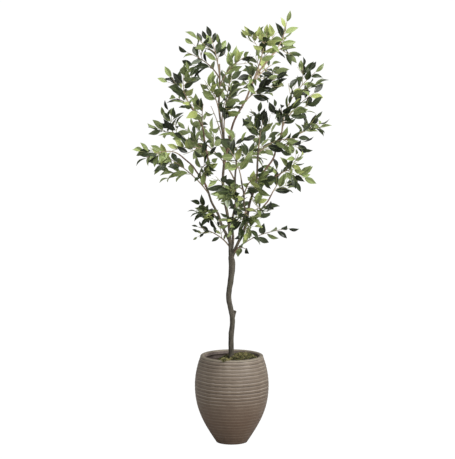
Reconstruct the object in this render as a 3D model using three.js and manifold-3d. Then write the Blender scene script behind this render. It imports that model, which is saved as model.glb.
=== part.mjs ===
// Potted laurel tree in millimetres, +Z up. A ribbed egg-shaped planter holds soil, moss and a slender
// kinked trunk. The trunk forks into stems and boughs, and every bough carries sprays of twigs and leaves.
// The origin is the centre of the planter's flat underside, -Y is the front, and +X is the right.

import * as THREE from "three";
import { mergeVertices } from "three/addons/utils/BufferGeometryUtils.js";
import Module from "manifold-3d";

const wasm = await Module();
wasm.setup();

// Driving dimensions
const clearance = 0.3; // between solids that touch on the real tree
const sliver = 0.05; // slimmer faces than this are closed up where twigs join

const planter = {
  height: 436,
  footRadius: 75,
  footHandle: [134, 88], // pulls the wall outwards above the foot
  bellyRadius: 182.5,
  bellyHeight: 285,
  bellyHandles: [165, 335], // heights that keep the belly upright
  rimHandle: [170, 392], // pulls the wall inwards under the rim
  rimRadius: 155,
  wall: 12,
  wallSteps: 5,
  stepParts: 4, // points along the inner face for every step of it
  edgeRoom: 10, // left without a step above the floor and below the mouth
  floor: 16,
  lipHeight: 9,
  lipWidth: 19,
  lipRound: 4,
  ribs: 26,
  ribDepth: 3.6,
  sides: 22,
};

const soil = { depthBelowRim: 40, wallGap: 0.45 };

const moss = {
  centre: [30, 8],
  radius: 102,
  height: 37,
  lump: 0.25, // share of the height by which the mound rises and dips
  lean: 0.2, // share of the height gained towards the right and the back
  brim: 0.16, // share of the height at which its edge stands
  waves: [0.07, 0.08], // how closely it rises and dips to the right and to the back
  sides: 20,
  rows: 4,
};

const trunk = {
  forkHeight: 934,
  footRadius: 15,
  waistRadius: 13.2,
  forkRadius: 18,
  flareHeight: 45,
  swellFrom: 0.55, // share of the trunk from which it widens towards the fork
  buried: 6, // cut away flat at the soil
  // Heights above the soil as shares of the trunk, each with the axis's offset to the right and to the back
  bends: [
    [0, -2, 0],
    [0.24, -3, 4],
    [0.42, 3, 2],
    [0.61, -15, -3],
    [0.77, -5, -2],
    [0.9, 1, 0],
    [1, -4, 0],
  ],
  sides: 10,
  segments: 18,
};

// The sawn stub of an old stem, on the right just below the main kink
const stub = { foot: [4, 2, 612], tip: [17, 0, 657], radii: [9.5, 7.5] };

// Each limb starts part-way along its parent and ends at its own tip. The bow moves the middle of its curve.
const limbs = [
  {
    name: "stem_leader", from: "trunk", at: 1,
    tip: [-61, 40, 1870], bow: [-10, 8, 0], radii: [8, 4],
  },
  {
    name: "stem_right", from: "trunk", at: 0.95,
    tip: [130, -60, 1468], bow: [27, -8, -10], radii: [7.6, 4.2],
  },
  {
    name: "stem_left", from: "stem_leader", at: 0.07,
    tip: [-133, -50, 1300], bow: [-4, -6, 0], radii: [6.8, 4.6],
  },
  {
    name: "stem_back", from: "trunk", at: 0.975,
    tip: [24, 205, 1390], bow: [0, 34, -40], radii: [6.8, 4.2],
  },
  {
    name: "stem_front", from: "stem_right", at: 0.33,
    tip: [46, -200, 1330], bow: [6, -22, -22], radii: [5.4, 3.8],
  },
  {
    name: "bough_right_peak", from: "stem_leader", at: 0.48,
    tip: [215, 60, 1936], bow: [-34, 4, 22], radii: [5.8, 3.6],
  },
  {
    name: "bough_left_peak", from: "stem_left", at: 1,
    tip: [-206, -20, 1682], bow: [42, 0, 6], radii: [4.5, 3.4],
  },
  {
    name: "bough_right_high", from: "stem_right", at: 0.72,
    tip: [250, 15, 1588], bow: [22, 0, -14], radii: [4.8, 3.6],
  },
  {
    name: "bough_left_far", from: "stem_left", at: 0.93,
    tip: [-256, -118, 1446], bow: [8, -12, 12], radii: [4.2, 3.4],
  },
  {
    name: "bough_left_back", from: "bough_left_peak", at: 0.36,
    tip: [-228, 98, 1490], bow: [10, 18, 8], radii: [4, 3.2],
  },
  {
    name: "bough_right_mid", from: "stem_right", at: 0.62,
    tip: [240, -138, 1358], bow: [0, -14, 6], radii: [4.2, 3.4],
  },
  {
    name: "bough_right_far", from: "bough_right_high", at: 0.62,
    tip: [300, 98, 1490], bow: [0, 14, -16], radii: [4, 3.2],
  },
  {
    name: "bough_right_low", from: "stem_right", at: 0.34,
    tip: [196, 58, 1228], bow: [10, 10, -8], radii: [4.4, 3.4],
  },
  {
    name: "bough_low_right", from: "stem_right", at: 0.05,
    tip: [72, -50, 1008], bow: [-4, -4, 3], radii: [3.8, 3],
  },
];
const limbSides = 6;
const limbStep = 85; // length of limb between two rings
const wander = { share: 0.012, turns: [2.2, 2.7], phase: 0.618 }; // gentle waviness of every limb

// Each spray's stem leaves its limb and ends at the reach, with a number of side twigs along it. Its leaves
// stand in a plane that is tilted by some degrees from the way they face, and may be smaller than others.
const sprays = [
  { name: "spray_leader_top", on: "stem_leader", at: 0.93, reach: [-100, 20, 2000], twigs: 2, tilt: 65 },
  { name: "spray_leader_left", on: "stem_leader", at: 0.92, reach: [-216, 130, 1916], twigs: 2, tilt: 25 },
  { name: "spray_leader_right", on: "stem_leader", at: 0.88, reach: [58, -115, 1916], twigs: 3, tilt: 15 },
  { name: "spray_leader_front", on: "stem_leader", at: 0.74, reach: [-101, -170, 1762], twigs: 3, tilt: 0 },
  { name: "spray_leader_mid", on: "stem_leader", at: 0.64, reach: [-30, -210, 1718], twigs: 4, tilt: 0 },
  { name: "spray_leader_inner", on: "stem_leader", at: 0.53, reach: [-101, -140, 1684], twigs: 5, tilt: 10 },
  { name: "spray_leader_back", on: "stem_leader", at: 0.6, reach: [-10, 270, 1760], twigs: 3, tilt: 30 },
  { name: "spray_peak", on: "bough_right_peak", at: 1, reach: [267, 60, 2070], twigs: 0, tilt: -60 },
  { name: "spray_peak_left", on: "bough_right_peak", at: 0.7, reach: [168, -100, 2035], twigs: 4, tilt: -35 },
  {
    name: "spray_peak_right", on: "bough_right_peak", at: 0.94,
    reach: [272, 170, 1946], twigs: 3, tilt: -10,
  },
  { name: "spray_peak_low", on: "bough_right_peak", at: 0.64, reach: [195, 210, 1847], twigs: 3, tilt: -35 },
  { name: "spray_peak_front", on: "bough_right_peak", at: 0.6, reach: [82, -180, 1837], twigs: 2, tilt: 0 },
  { name: "spray_peak_under", on: "bough_right_peak", at: 0.5, reach: [213, 40, 1796], twigs: 3, tilt: -10 },
  { name: "spray_left_peak", on: "bough_left_peak", at: 1, reach: [-234, -90, 1826], twigs: 2, tilt: 25 },
  { name: "spray_left_side", on: "bough_left_peak", at: 0.9, reach: [-272, 110, 1693], twigs: 1, tilt: 40 },
  {
    name: "spray_left_inner", on: "bough_left_peak", at: 0.66,
    reach: [-138, -125, 1692], twigs: 5, tilt: 10,
  },
  { name: "spray_left_back", on: "bough_left_back", at: 1, reach: [-325, 190, 1589], twigs: 3, tilt: 60 },
  { name: "spray_left_mid", on: "bough_left_peak", at: 0.36, reach: [-288, -70, 1459], twigs: 4, tilt: -10 },
  { name: "spray_left_far", on: "bough_left_far", at: 1, reach: [-412, -150, 1434], twigs: 3, tilt: 25 },
  { name: "spray_left_low", on: "stem_left", at: 0.8, reach: [-340, -50, 1440], twigs: 3, tilt: 20 },
  { name: "spray_left_front", on: "bough_left_far", at: 0.25, reach: [-96, -240, 1424], twigs: 2, tilt: 10 },
  { name: "spray_low_left", on: "stem_left", at: 0.3, reach: [-152, -115, 1204], twigs: 4, tilt: 20 },
  {
    name: "spray_sprig_left", on: "stem_leader", at: 0.035,
    reach: [-164, 50, 1065], twigs: 2, tilt: 10, size: 0.55,
  },
  { name: "spray_right_high", on: "bough_right_high", at: 1, reach: [405, 50, 1826], twigs: 3, tilt: -45 },
  {
    name: "spray_right_side", on: "bough_right_high", at: 0.93,
    reach: [400, 130, 1714], twigs: 1, tilt: -30,
  },
  {
    name: "spray_right_inner", on: "bough_right_high", at: 0.85,
    reach: [236, -160, 1675], twigs: 3, tilt: -55,
  },
  {
    name: "spray_right_far", on: "bough_right_far", at: 1,
    reach: [422, 130, 1566], twigs: 3, tilt: -25, size: 0.92,
  },
  { name: "spray_right_crown", on: "stem_right", at: 1, reach: [150, -140, 1612], twigs: 5, tilt: -15 },
  { name: "spray_right_shelf", on: "stem_right", at: 0.96, reach: [318, -110, 1526], twigs: 3, tilt: 25 },
  { name: "spray_right_mid", on: "bough_right_mid", at: 1, reach: [298, -170, 1378], twigs: 3, tilt: 35 },
  { name: "spray_right_low", on: "bough_right_low", at: 1, reach: [232, 90, 1282], twigs: 2, tilt: -35 },
  { name: "spray_right_under", on: "bough_right_low", at: 0.4, reach: [105, -120, 1170], twigs: 5, tilt: 10 },
  { name: "spray_low_right", on: "bough_low_right", at: 1, reach: [272, -130, 1084], twigs: 0, tilt: 60 },
  {
    name: "spray_fork_front", on: "bough_low_right", at: 0.4,
    reach: [66, -84, 978], twigs: 0, tilt: 0, size: 0.9,
  },
  { name: "spray_back_right", on: "stem_back", at: 0.9, reach: [194, 310, 1423], twigs: 3, tilt: 20 },
  { name: "spray_back_left", on: "stem_back", at: 0.8, reach: [-228, 240, 1525], twigs: 3, tilt: 20 },
  { name: "spray_back_top", on: "stem_back", at: 1, reach: [41, 320, 1395], twigs: 3, tilt: 20 },
  { name: "spray_back_low", on: "stem_back", at: 0.5, reach: [36, 225, 1160], twigs: 4, tilt: 20 },
  { name: "spray_front_top", on: "stem_front", at: 1, reach: [-15, -290, 1498], twigs: 3, tilt: 10 },
  { name: "spray_front_left", on: "stem_front", at: 0.85, reach: [-48, -290, 1290], twigs: 4, tilt: -20 },
  { name: "spray_front_right", on: "stem_front", at: 0.75, reach: [125, -290, 1382], twigs: 3, tilt: 10 },
  { name: "spray_front_low", on: "stem_front", at: 0.4, reach: [46, -200, 1104], twigs: 5, tilt: 10 },
];

const growth = {
  spread: 150, // no leaf leaves its stem by more than this
  stemPull: 0.42, // share of the way to its reach for which a stem keeps its first direction
  firstTwig: 0.3, // share of the room for one twig at which the first one stands
  lastTwig: 0.85, // share of the stem beyond which no twig stands
  twigLength: [70, 105],
  twigAngle: 44, // degrees that a side twig leans from its stem
  twigLift: 0.12, // share of its length that a twig's end lifts
  twigSway: 35, // degrees about the stem by which a twig strays from its side
  twigTilt: 30, // degrees by which a twig's leaves stray from the spray's tilt
  bareFoot: 0.3, // share of a twig before its first leaf
  leafyStem: 170, // length of leafy stem at the most
  internode: 26, // length of twig between two leaves
  leafAngles: [58, 38], // degrees that the first and the last leaf lean from their twig
  angleSway: 10, // degrees by which a leaf strays from that
  tipAngles: [2, 14], // degrees that the leaf at the tip leans
  turnSway: 28, // degrees about the twig by which a leaf strays from its side
  retryTurn: 45, // degrees about the twig from one try to the next
  tries: 4, // turns that are tried until a leaf fits
  leafLength: [72, 96],
  tipLeaf: 0.8, // share of that length that is left at the tip
  leafWidthShare: 0.41,
  facing: { up: 0.35, out: 0.8, front: 90, aside: 0.4 }, // leaves look outwards and a little up
  faceForward: 0.4, // share by which a leaf's upper face looks along its twig
  roll: 34, // degrees that a leaf rolls to either side
  stemRadii: [3.2, 2.2],
  twigRadii: [2, 1.9],
  twigSpots: [0.4, 0.7, 1], // shares of a twig that are tried for room
  leafSpots: [0.25, 0.5, 0.75, 1], // shares of a leaf that are tried for room
  margin: 4, // between the leaves of two sprays
  limbMargin: 5, // between a leaf and a limb
};

const leafShape = {
  root: 4, // length of twig that carries one leaf's root
  widest: 0.46, // share of the length at which the blade is widest
  arch: 0.05, // rise of the blade's widest line as a share of the length
  thickness: 2.4, // kept free about a leaf when others are tried
};

// Colours and finishes
const finishes = {
  planter: new THREE.MeshStandardMaterial({ color: 0x7a6d60, roughness: 0.8, metalness: 0 }),
  soil: new THREE.MeshStandardMaterial({ color: 0x3a2e26, roughness: 1, metalness: 0 }),
  moss: new THREE.MeshStandardMaterial({ color: 0x6b6a35, roughness: 1, metalness: 0 }),
  bark: new THREE.MeshStandardMaterial({ color: 0x57524a, roughness: 0.85, metalness: 0 }),
  bough: new THREE.MeshStandardMaterial({ color: 0x756658, roughness: 0.8, metalness: 0 }),
  leaf: new THREE.MeshStandardMaterial({ color: 0x4a5d33, roughness: 0.45, metalness: 0 }),
};

const upwards = new THREE.Vector3(0, 0, 1);
const vector = (values) => new THREE.Vector3(...values);
const radians = THREE.MathUtils.degToRad;
const mix = THREE.MathUtils.lerp;

// A repeatable random number between two values for any set of whole-number keys
function chance(least, most, ...keys) {
  let state = 0;
  for (const key of keys) {
    state = Math.imul(state ^ (key + 1), 2246822519) >>> 0;
    state = Math.imul(state ^ (state >>> 15), 3266489917) >>> 0;
    state = (state ^ (state >>> 13)) >>> 0;
  }
  return mix(least, most, state / 2 ** 32);
}

// Solids and meshes

function solidOf(geometry) {
  const bare = geometry.index ? geometry.toNonIndexed() : geometry.clone();
  const places = new THREE.BufferGeometry().setAttribute("position", bare.attributes.position);
  const merged = mergeVertices(places, 1e-4);
  const corners = [];
  const index = merged.index.array;
  for (let i = 0; i < index.length; i += 3) {
    const [a, b, c] = [index[i], index[i + 1], index[i + 2]];
    if (a !== b && b !== c && a !== c) corners.push(a, b, c);
  }
  return new wasm.Manifold(
    new wasm.Mesh({
      numProp: 3,
      vertProperties: merged.attributes.position.array,
      triVerts: new Uint32Array(corners),
    }),
  );
}

function geometryOf(solid) {
  const mesh = solid.getMesh();
  return new THREE.BufferGeometry()
    .setAttribute("position", new THREE.BufferAttribute(new Float32Array(mesh.vertProperties), 3))
    .setIndex(new THREE.BufferAttribute(new Uint32Array(mesh.triVerts), 1));
}

// The largest of a solid's separate bodies, so that a cut leaves no scrap behind
function mainBody(solid) {
  const bodies = solid.decompose();
  return bodies.reduce((best, body) => (body.volume() > best.volume() ? body : best));
}

const tree = new THREE.Group();
tree.name = "potted_laurel";

function addNode(name, geometry, finish) {
  const mesh = new THREE.Mesh(geometry, finish);
  mesh.name = name;
  tree.add(mesh);
}

// Planter, soil and moss

// The wall's outline from the foot to the rim, radius against height
function wallCurve() {
  const foot = new THREE.Vector2(planter.footRadius, 0);
  const belly = new THREE.Vector2(planter.bellyRadius, planter.bellyHeight);
  const rim = new THREE.Vector2(planter.rimRadius, planter.height - planter.lipHeight);
  const [lowHandle, highHandle] = planter.bellyHandles.map((h) => new THREE.Vector2(planter.bellyRadius, h));
  const wall = new THREE.CurvePath();
  wall.add(new THREE.CubicBezierCurve(foot, new THREE.Vector2(...planter.footHandle), lowHandle, belly));
  wall.add(new THREE.CubicBezierCurve(belly, highHandle, new THREE.Vector2(...planter.rimHandle), rim));
  return wall;
}

// The wall's inner face from the floor up to the mouth
function innerWall() {
  const { floor, height, lipHeight, wall, wallSteps, stepParts, edgeRoom } = planter;
  const face = wallCurve().getSpacedPoints(wallSteps * stepParts);
  face.forEach((point) => (point.x -= wall));
  const mouth = height - lipHeight * 2;
  const isStep = ({ y }, i) => i % stepParts === 0 && y > floor + edgeRoom && y < mouth - edgeRoom;
  return [pointAtHeight(face, floor), ...face.filter(isStep), pointAtHeight(face, mouth)];
}

function pointAtHeight(face, height) {
  const i = face.findIndex(({ y }) => y >= height);
  const share = (height - face[i - 1].y) / (face[i].y - face[i - 1].y);
  return face[i - 1].clone().lerp(face[i], share);
}

function lathe(profile, sides) {
  return new THREE.LatheGeometry(profile, sides).rotateX(Math.PI / 2);
}

function planterGeometry() {
  const outside = wallCurve().getSpacedPoints(planter.ribs * 2);
  const ribbed = outside.map((p, i) => new THREE.Vector2(p.x - (i % 2 ? 0 : planter.ribDepth), p.y));
  ribbed[0].x = planter.footRadius;
  const lipTop = planter.height;
  const lipOuter = planter.rimRadius;
  const lipInner = planter.rimRadius - planter.lipWidth;
  const profile = [
    new THREE.Vector2(0, 0),
    ...ribbed,
    new THREE.Vector2(lipOuter, lipTop - planter.lipRound),
    new THREE.Vector2(lipOuter - planter.lipRound, lipTop),
    new THREE.Vector2(lipInner + planter.lipRound, lipTop),
    new THREE.Vector2(lipInner, lipTop - planter.lipRound),
    ...innerWall().reverse(),
    new THREE.Vector2(0, planter.floor),
  ];
  return lathe(profile, planter.sides);
}

const soilHeight = planter.height - soil.depthBelowRim;

// Soil that fills the planter, clear of its floor and its wall
function soilGeometry() {
  const wall = innerWall();
  wall.forEach((point) => (point.x -= soil.wallGap));
  const bottom = planter.floor + clearance;
  const side = wall.filter(({ y }) => y > bottom && y < soilHeight);
  const profile = [
    new THREE.Vector2(0, bottom),
    pointAtHeight(wall, bottom),
    ...side,
    pointAtHeight(wall, soilHeight),
    new THREE.Vector2(0, soilHeight),
  ];
  return lathe(profile, planter.sides);
}

// A low lumpy mound, flat underneath, that leans up to the right and the back
function mossSolid() {
  const profile = [new THREE.Vector2(0, 0)];
  for (let row = 0; row <= moss.rows; row++) {
    const angle = (row / moss.rows) * (Math.PI / 2);
    const height = moss.height * mix(moss.brim, 1, Math.sin(angle));
    profile.push(new THREE.Vector2(moss.radius * Math.cos(angle), height));
  }
  profile.splice(1, 0, new THREE.Vector2(moss.radius, 0));
  const mound = lathe(profile, moss.sides);
  const [waveX, waveY] = moss.waves;
  const place = mound.attributes.position;
  for (let i = 0; i < place.count; i++) {
    const [x, y, z] = [place.getX(i), place.getY(i), place.getZ(i)];
    const ripple = Math.sin(x * waveX + 1) * Math.cos(y * waveY) * (Math.hypot(x, y) / moss.radius);
    place.setZ(i, z * (1 + moss.lump * ripple + (moss.lean * (x + y)) / moss.radius));
  }
  return solidOf(mound.translate(...moss.centre, soilHeight + clearance));
}

// Limbs

// A curve given by a function of the share of its length
class LimbPath extends THREE.Curve {
  constructor(pointAt) {
    super();
    this.pointAt = pointAt;
  }
  getPoint(share, target = new THREE.Vector3()) {
    return target.copy(this.pointAt(share));
  }
}

// A cylinder bent along a path, with a radius at every share of its length
function tubeAlong(path, radiusAt, sides, segments) {
  const tube = new THREE.CylinderGeometry(1, 1, 1, sides, segments);
  const frames = path.computeFrenetFrames(segments);
  const place = tube.attributes.position;
  const corner = new THREE.Vector3();
  for (let i = 0; i < place.count; i++) {
    const share = place.getY(i) + 0.5;
    const ring = Math.round(share * segments);
    const radius = radiusAt(share);
    path.getPointAt(share, corner);
    corner.addScaledVector(frames.binormals[ring], place.getX(i) * radius);
    corner.addScaledVector(frames.normals[ring], place.getZ(i) * radius);
    place.setXYZ(i, corner.x, corner.y, corner.z);
  }
  return tube;
}

// A curve from start to tip whose middle is moved by the bow
function bowed(start, tip, bow) {
  const handle = start.clone().add(tip).multiplyScalar(0.5).addScaledVector(bow, 2);
  return new THREE.QuadraticBezierCurve3(start, handle, tip);
}

function trunkPath() {
  const length = trunk.forkHeight - soilHeight + trunk.buried;
  const heightAt = (share) => trunk.forkHeight - (1 - share) * length;
  const points = trunk.bends.map(([share, x, y]) => new THREE.Vector3(x, y, heightAt(share)));
  return new THREE.CatmullRomCurve3(points, false, "catmullrom", 0.5);
}

// Widest at the fork, waisted at the kink, with a small flare where it leaves the soil
function trunkRadius(share) {
  const height = share * (trunk.forkHeight - soilHeight);
  const flare = Math.max(0, 1 - height / trunk.flareHeight) ** 2;
  const swell = Math.max(0, (share - trunk.swellFrom) / (1 - trunk.swellFrom)) ** 2;
  return mix(trunk.waistRadius, trunk.footRadius, flare) + (trunk.forkRadius - trunk.waistRadius) * swell;
}

function limbPath(limb, parent, index) {
  const start = parent.path.getPoint(limb.at);
  if (limb.at === 1) start.addScaledVector(parent.path.getTangent(1), clearance);
  const tip = vector(limb.tip);
  const curve = bowed(start, tip, vector(limb.bow));
  const sway = wander.share * start.distanceTo(tip);
  const [turnX, turnY] = wander.turns;
  return new LimbPath((share) => {
    const reach = sway * Math.sin(Math.PI * share);
    const point = curve.getPoint(share);
    point.x += reach * Math.sin(2 * Math.PI * (turnX * share + wander.phase * index));
    point.y += reach * Math.cos(2 * Math.PI * (turnY * share + wander.phase * index));
    return point;
  });
}

// The axis as short straight pieces with the radius of each, for distances
function axisOf(path, radiusAt, pieces) {
  const points = path.getSpacedPoints(pieces);
  return points.slice(1).map((point, i) => ({
    line: new THREE.Line3(points[i], point),
    radius: Math.max(radiusAt(i / pieces), radiusAt((i + 1) / pieces)),
  }));
}

const wood = new Map();

// A trunk or limb, cut clear of every older one and kept with a sleeve that later ones are cut by
function addWood(name, path, radiusAt, sides, segments, finish, shaped = (solid) => solid) {
  let solid = shaped(solidOf(tubeAlong(path, radiusAt, sides, segments)));
  const sleeve = solidOf(tubeAlong(path, (share) => radiusAt(share) + clearance, sides, segments));
  for (const older of wood.values()) solid = solid.subtract(older.sleeve);
  solid = mainBody(solid);
  wood.set(name, { path, radiusAt, sleeve, axis: axisOf(path, radiusAt, segments * 2) });
  addNode(name, geometryOf(solid), finish);
}

function addLimbs() {
  const stubPath = new THREE.LineCurve3(vector(stub.foot), vector(stub.tip));
  const stubRadius = (share) => mix(...stub.radii, share);
  const stubSolid = solidOf(tubeAlong(stubPath, stubRadius, trunk.sides, 1));
  const shaped = (solid) => solid.add(stubSolid).trimByPlane([0, 0, 1], soilHeight + clearance);
  addWood("trunk", trunkPath(), trunkRadius, trunk.sides, trunk.segments, finishes.bark, shaped);
  limbs.forEach((limb, index) => {
    const path = limbPath(limb, wood.get(limb.from), index);
    const segments = Math.max(3, Math.round(path.getLength() / limbStep));
    addWood(limb.name, path, (share) => mix(...limb.radii, share), limbSides, segments, finishes.bough);
  });
}

// Sprays

function distanceToWood(point) {
  const nearest = new THREE.Vector3();
  let least = Infinity;
  for (const { axis } of wood.values()) {
    for (const { line, radius } of axis) {
      line.closestPointToPoint(point, true, nearest);
      least = Math.min(least, nearest.distanceTo(point) - radius);
    }
  }
  return least;
}

// A spray's stem carries on from a limb's tip, or leaves a limb's side half-way towards its reach
function sprayPath(spray) {
  const limb = wood.get(spray.on);
  const start = limb.path.getPoint(spray.at);
  const reach = vector(spray.reach);
  const way = limb.path.getTangent(spray.at);
  if (spray.at === 1) start.addScaledVector(way, clearance);
  else way.add(reach.clone().sub(start).normalize()).normalize();
  const handle = start.clone().addScaledVector(way, growth.stemPull * start.distanceTo(reach));
  return new THREE.QuadraticBezierCurve3(start, handle, reach);
}

const stems = [];

// Distance from a point to a spray's stem
function distanceToStem(point, { lines }) {
  const nearest = new THREE.Vector3();
  return Math.min(...lines.map((line) => line.closestPointToPoint(point, true, nearest).distanceTo(point)));
}

// True if every point is clear of the limbs, near the spray's own stem and further from every other stem
function hasRoom(points, index) {
  return points.every((point) => {
    const own = distanceToStem(point, stems[index]) + growth.margin;
    if (own > growth.spread || distanceToWood(point) < growth.limbMargin) return false;
    return stems.every((stem, other) => other === index || own < distanceToStem(point, stem));
  });
}

// A direction that leans from the axis by an angle, turned about the axis from a side of it
function leaning(axis, side, lean, turn) {
  const away = side.clone().addScaledVector(axis, -side.dot(axis)).normalize().applyAxisAngle(axis, turn);
  return axis.clone().multiplyScalar(Math.cos(lean)).addScaledVector(away, Math.sin(lean));
}

// The way that leaves look at a place: outwards from the tree and a little up
function facingAt(place) {
  const { up, out, front, aside } = growth.facing;
  const outwards = new THREE.Vector3(aside * place.x, place.y - front, 0).normalize();
  return outwards.multiplyScalar(out).addScaledVector(upwards, up);
}

// A twig along a path, with the side to which its first rank of leaves stands
function makeTwig(path, bareFoot, radii, tilt) {
  const chord = path.getPoint(1).sub(path.getPoint(0)).normalize();
  const side = new THREE.Vector3().crossVectors(chord, facingAt(path.getPoint(0.5))).normalize();
  side.applyAxisAngle(chord, radians(tilt));
  return { path, side, bareFoot, radii, length: path.getLength(), leaves: [] };
}

// A side twig that leaves the stem at a share of its length and lifts towards its end
function sideTwig(stem, share, turn, length, tilt) {
  const start = stem.path.getPoint(share);
  const way = leaning(stem.path.getTangent(share), stem.side, radians(growth.twigAngle), radians(turn));
  const tip = start.clone().addScaledVector(way, length).addScaledVector(upwards, growth.twigLift * length);
  const handle = start.clone().addScaledVector(way, length * 0.5);
  const path = new THREE.QuadraticBezierCurve3(start, handle, tip);
  return makeTwig(path, growth.bareFoot, growth.twigRadii, tilt);
}

// The stem of a spray and the side twigs that have room, to one side and the other by turns
function growTwigs(spray, index) {
  const { path } = stems[index];
  const { twigSway, twigTilt } = growth;
  const bareFoot = Math.max(growth.bareFoot, 1 - growth.leafyStem / path.getLength());
  const stem = makeTwig(path, bareFoot, growth.stemRadii, spray.tilt);
  const twigs = [stem];
  for (let i = 0; i < spray.twigs; i++) {
    const share = mix(bareFoot, growth.lastTwig, (i + growth.firstTwig) / spray.twigs);
    const turn = 180 * ((i + index) % 2) + chance(-twigSway, twigSway, index, i, 1);
    const tilt = spray.tilt + chance(-twigTilt, twigTilt, index, i, 2);
    const twig = sideTwig(stem, share, turn, chance(...growth.twigLength, index, i), tilt);
    const spots = growth.twigSpots.map((at) => twig.path.getPoint(at));
    if (hasRoom(spots, index)) twigs.push(twig);
  }
  return twigs;
}

// One leaf of a twig: its root, the way it points, the way its upper face looks, and its size
function leafAt(twig, order, count, size, index, number, attempt) {
  const { leafAngles, angleSway, tipAngles, turnSway, retryTurn, faceForward, roll, tipLeaf } = growth;
  const keys = [index, number, order, attempt];
  const isTip = order === count;
  const share = isTip ? 1 : mix(twig.bareFoot, 1, order / count);
  const axis = twig.path.getTangent(share);
  const root = twig.path.getPoint(share);
  const straight = mix(...leafAngles, order / count) + chance(-angleSway, angleSway, ...keys, 1);
  const lean = isTip ? chance(...tipAngles, ...keys, 1) : straight;
  const stray = chance(-turnSway, turnSway, ...keys, 2) + attempt * retryTurn;
  const turn = 180 * ((order + number) % 2) + stray;
  const along = leaning(axis, twig.side, radians(lean), radians(turn));
  const face = new THREE.Vector3().crossVectors(twig.side, axis).addScaledVector(axis, faceForward);
  face.addScaledVector(along, -face.dot(along)).normalize();
  face.applyAxisAngle(along, radians(chance(-roll, roll, ...keys, 3)));
  const across = new THREE.Vector3().crossVectors(face, along);
  const length = size * chance(...growth.leafLength, ...keys, 4) * mix(1, tipLeaf, order / count);
  const rank = Math.floor(THREE.MathUtils.euclideanModulo(turn, 360) / 120);
  const halfWidth = (length * growth.leafWidthShare) / 2;
  return { share, isTip, rank, root, along, face, across, length, halfWidth };
}

function onLeaf({ root, along, face, across }, forward, sideways, rise) {
  const spot = root.clone().addScaledVector(along, forward);
  return spot.addScaledVector(across, sideways).addScaledVector(face, rise);
}

// The room that a blade takes up, from just clear of its twig to its tip
function bladeRoom(leaf) {
  const { length, halfWidth } = leaf;
  const room = new THREE.OctahedronGeometry(1);
  const place = room.attributes.position;
  for (let i = 0; i < place.count; i++) {
    const [x, y, z] = [place.getX(i), place.getY(i), place.getZ(i)].map(Math.round);
    const forward = x ? mix(leafShape.root, length, (x + 1) / 2) : leafShape.widest * length;
    const rise = leafShape.arch * length * (x ? 0 : 1) + (z * leafShape.thickness) / 2;
    place.setXYZ(i, ...onLeaf(leaf, forward, y * halfWidth, rise));
  }
  return solidOf(room);
}

// Leaves along every twig and one at its tip, each turned until it fits or left out
function growLeaves(twigs, index, size = 1) {
  const tubes = twigs.map(({ path, radii }) => solidOf(tubeAlong(path, () => radii[0], 3, 3)));
  const taken = [];
  twigs.forEach((twig, number) => {
    const others = tubes.filter((tube, i) => i !== number);
    const count = Math.max(2, Math.round((twig.length * (1 - twig.bareFoot)) / growth.internode));
    for (let order = 0; order <= count; order++) {
      for (let attempt = 0; attempt < growth.tries; attempt++) {
        const leaf = leafAt(twig, order, count, size, index, number, attempt);
        const spots = growth.leafSpots.map((share) => onLeaf(leaf, share * leaf.length, 0, 0));
        const edges = [-1, 1].map((y) => onLeaf(leaf, leafShape.widest * leaf.length, y * leaf.halfWidth, 0));
        if (!hasRoom([...spots, ...edges], index)) continue;
        const room = bladeRoom(leaf);
        if ([...taken, ...others].some((other) => !room.intersect(other).isEmpty())) continue;
        taken.push(room);
        twig.leaves.push(leaf);
        break;
      }
    }
  });
}

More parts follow.
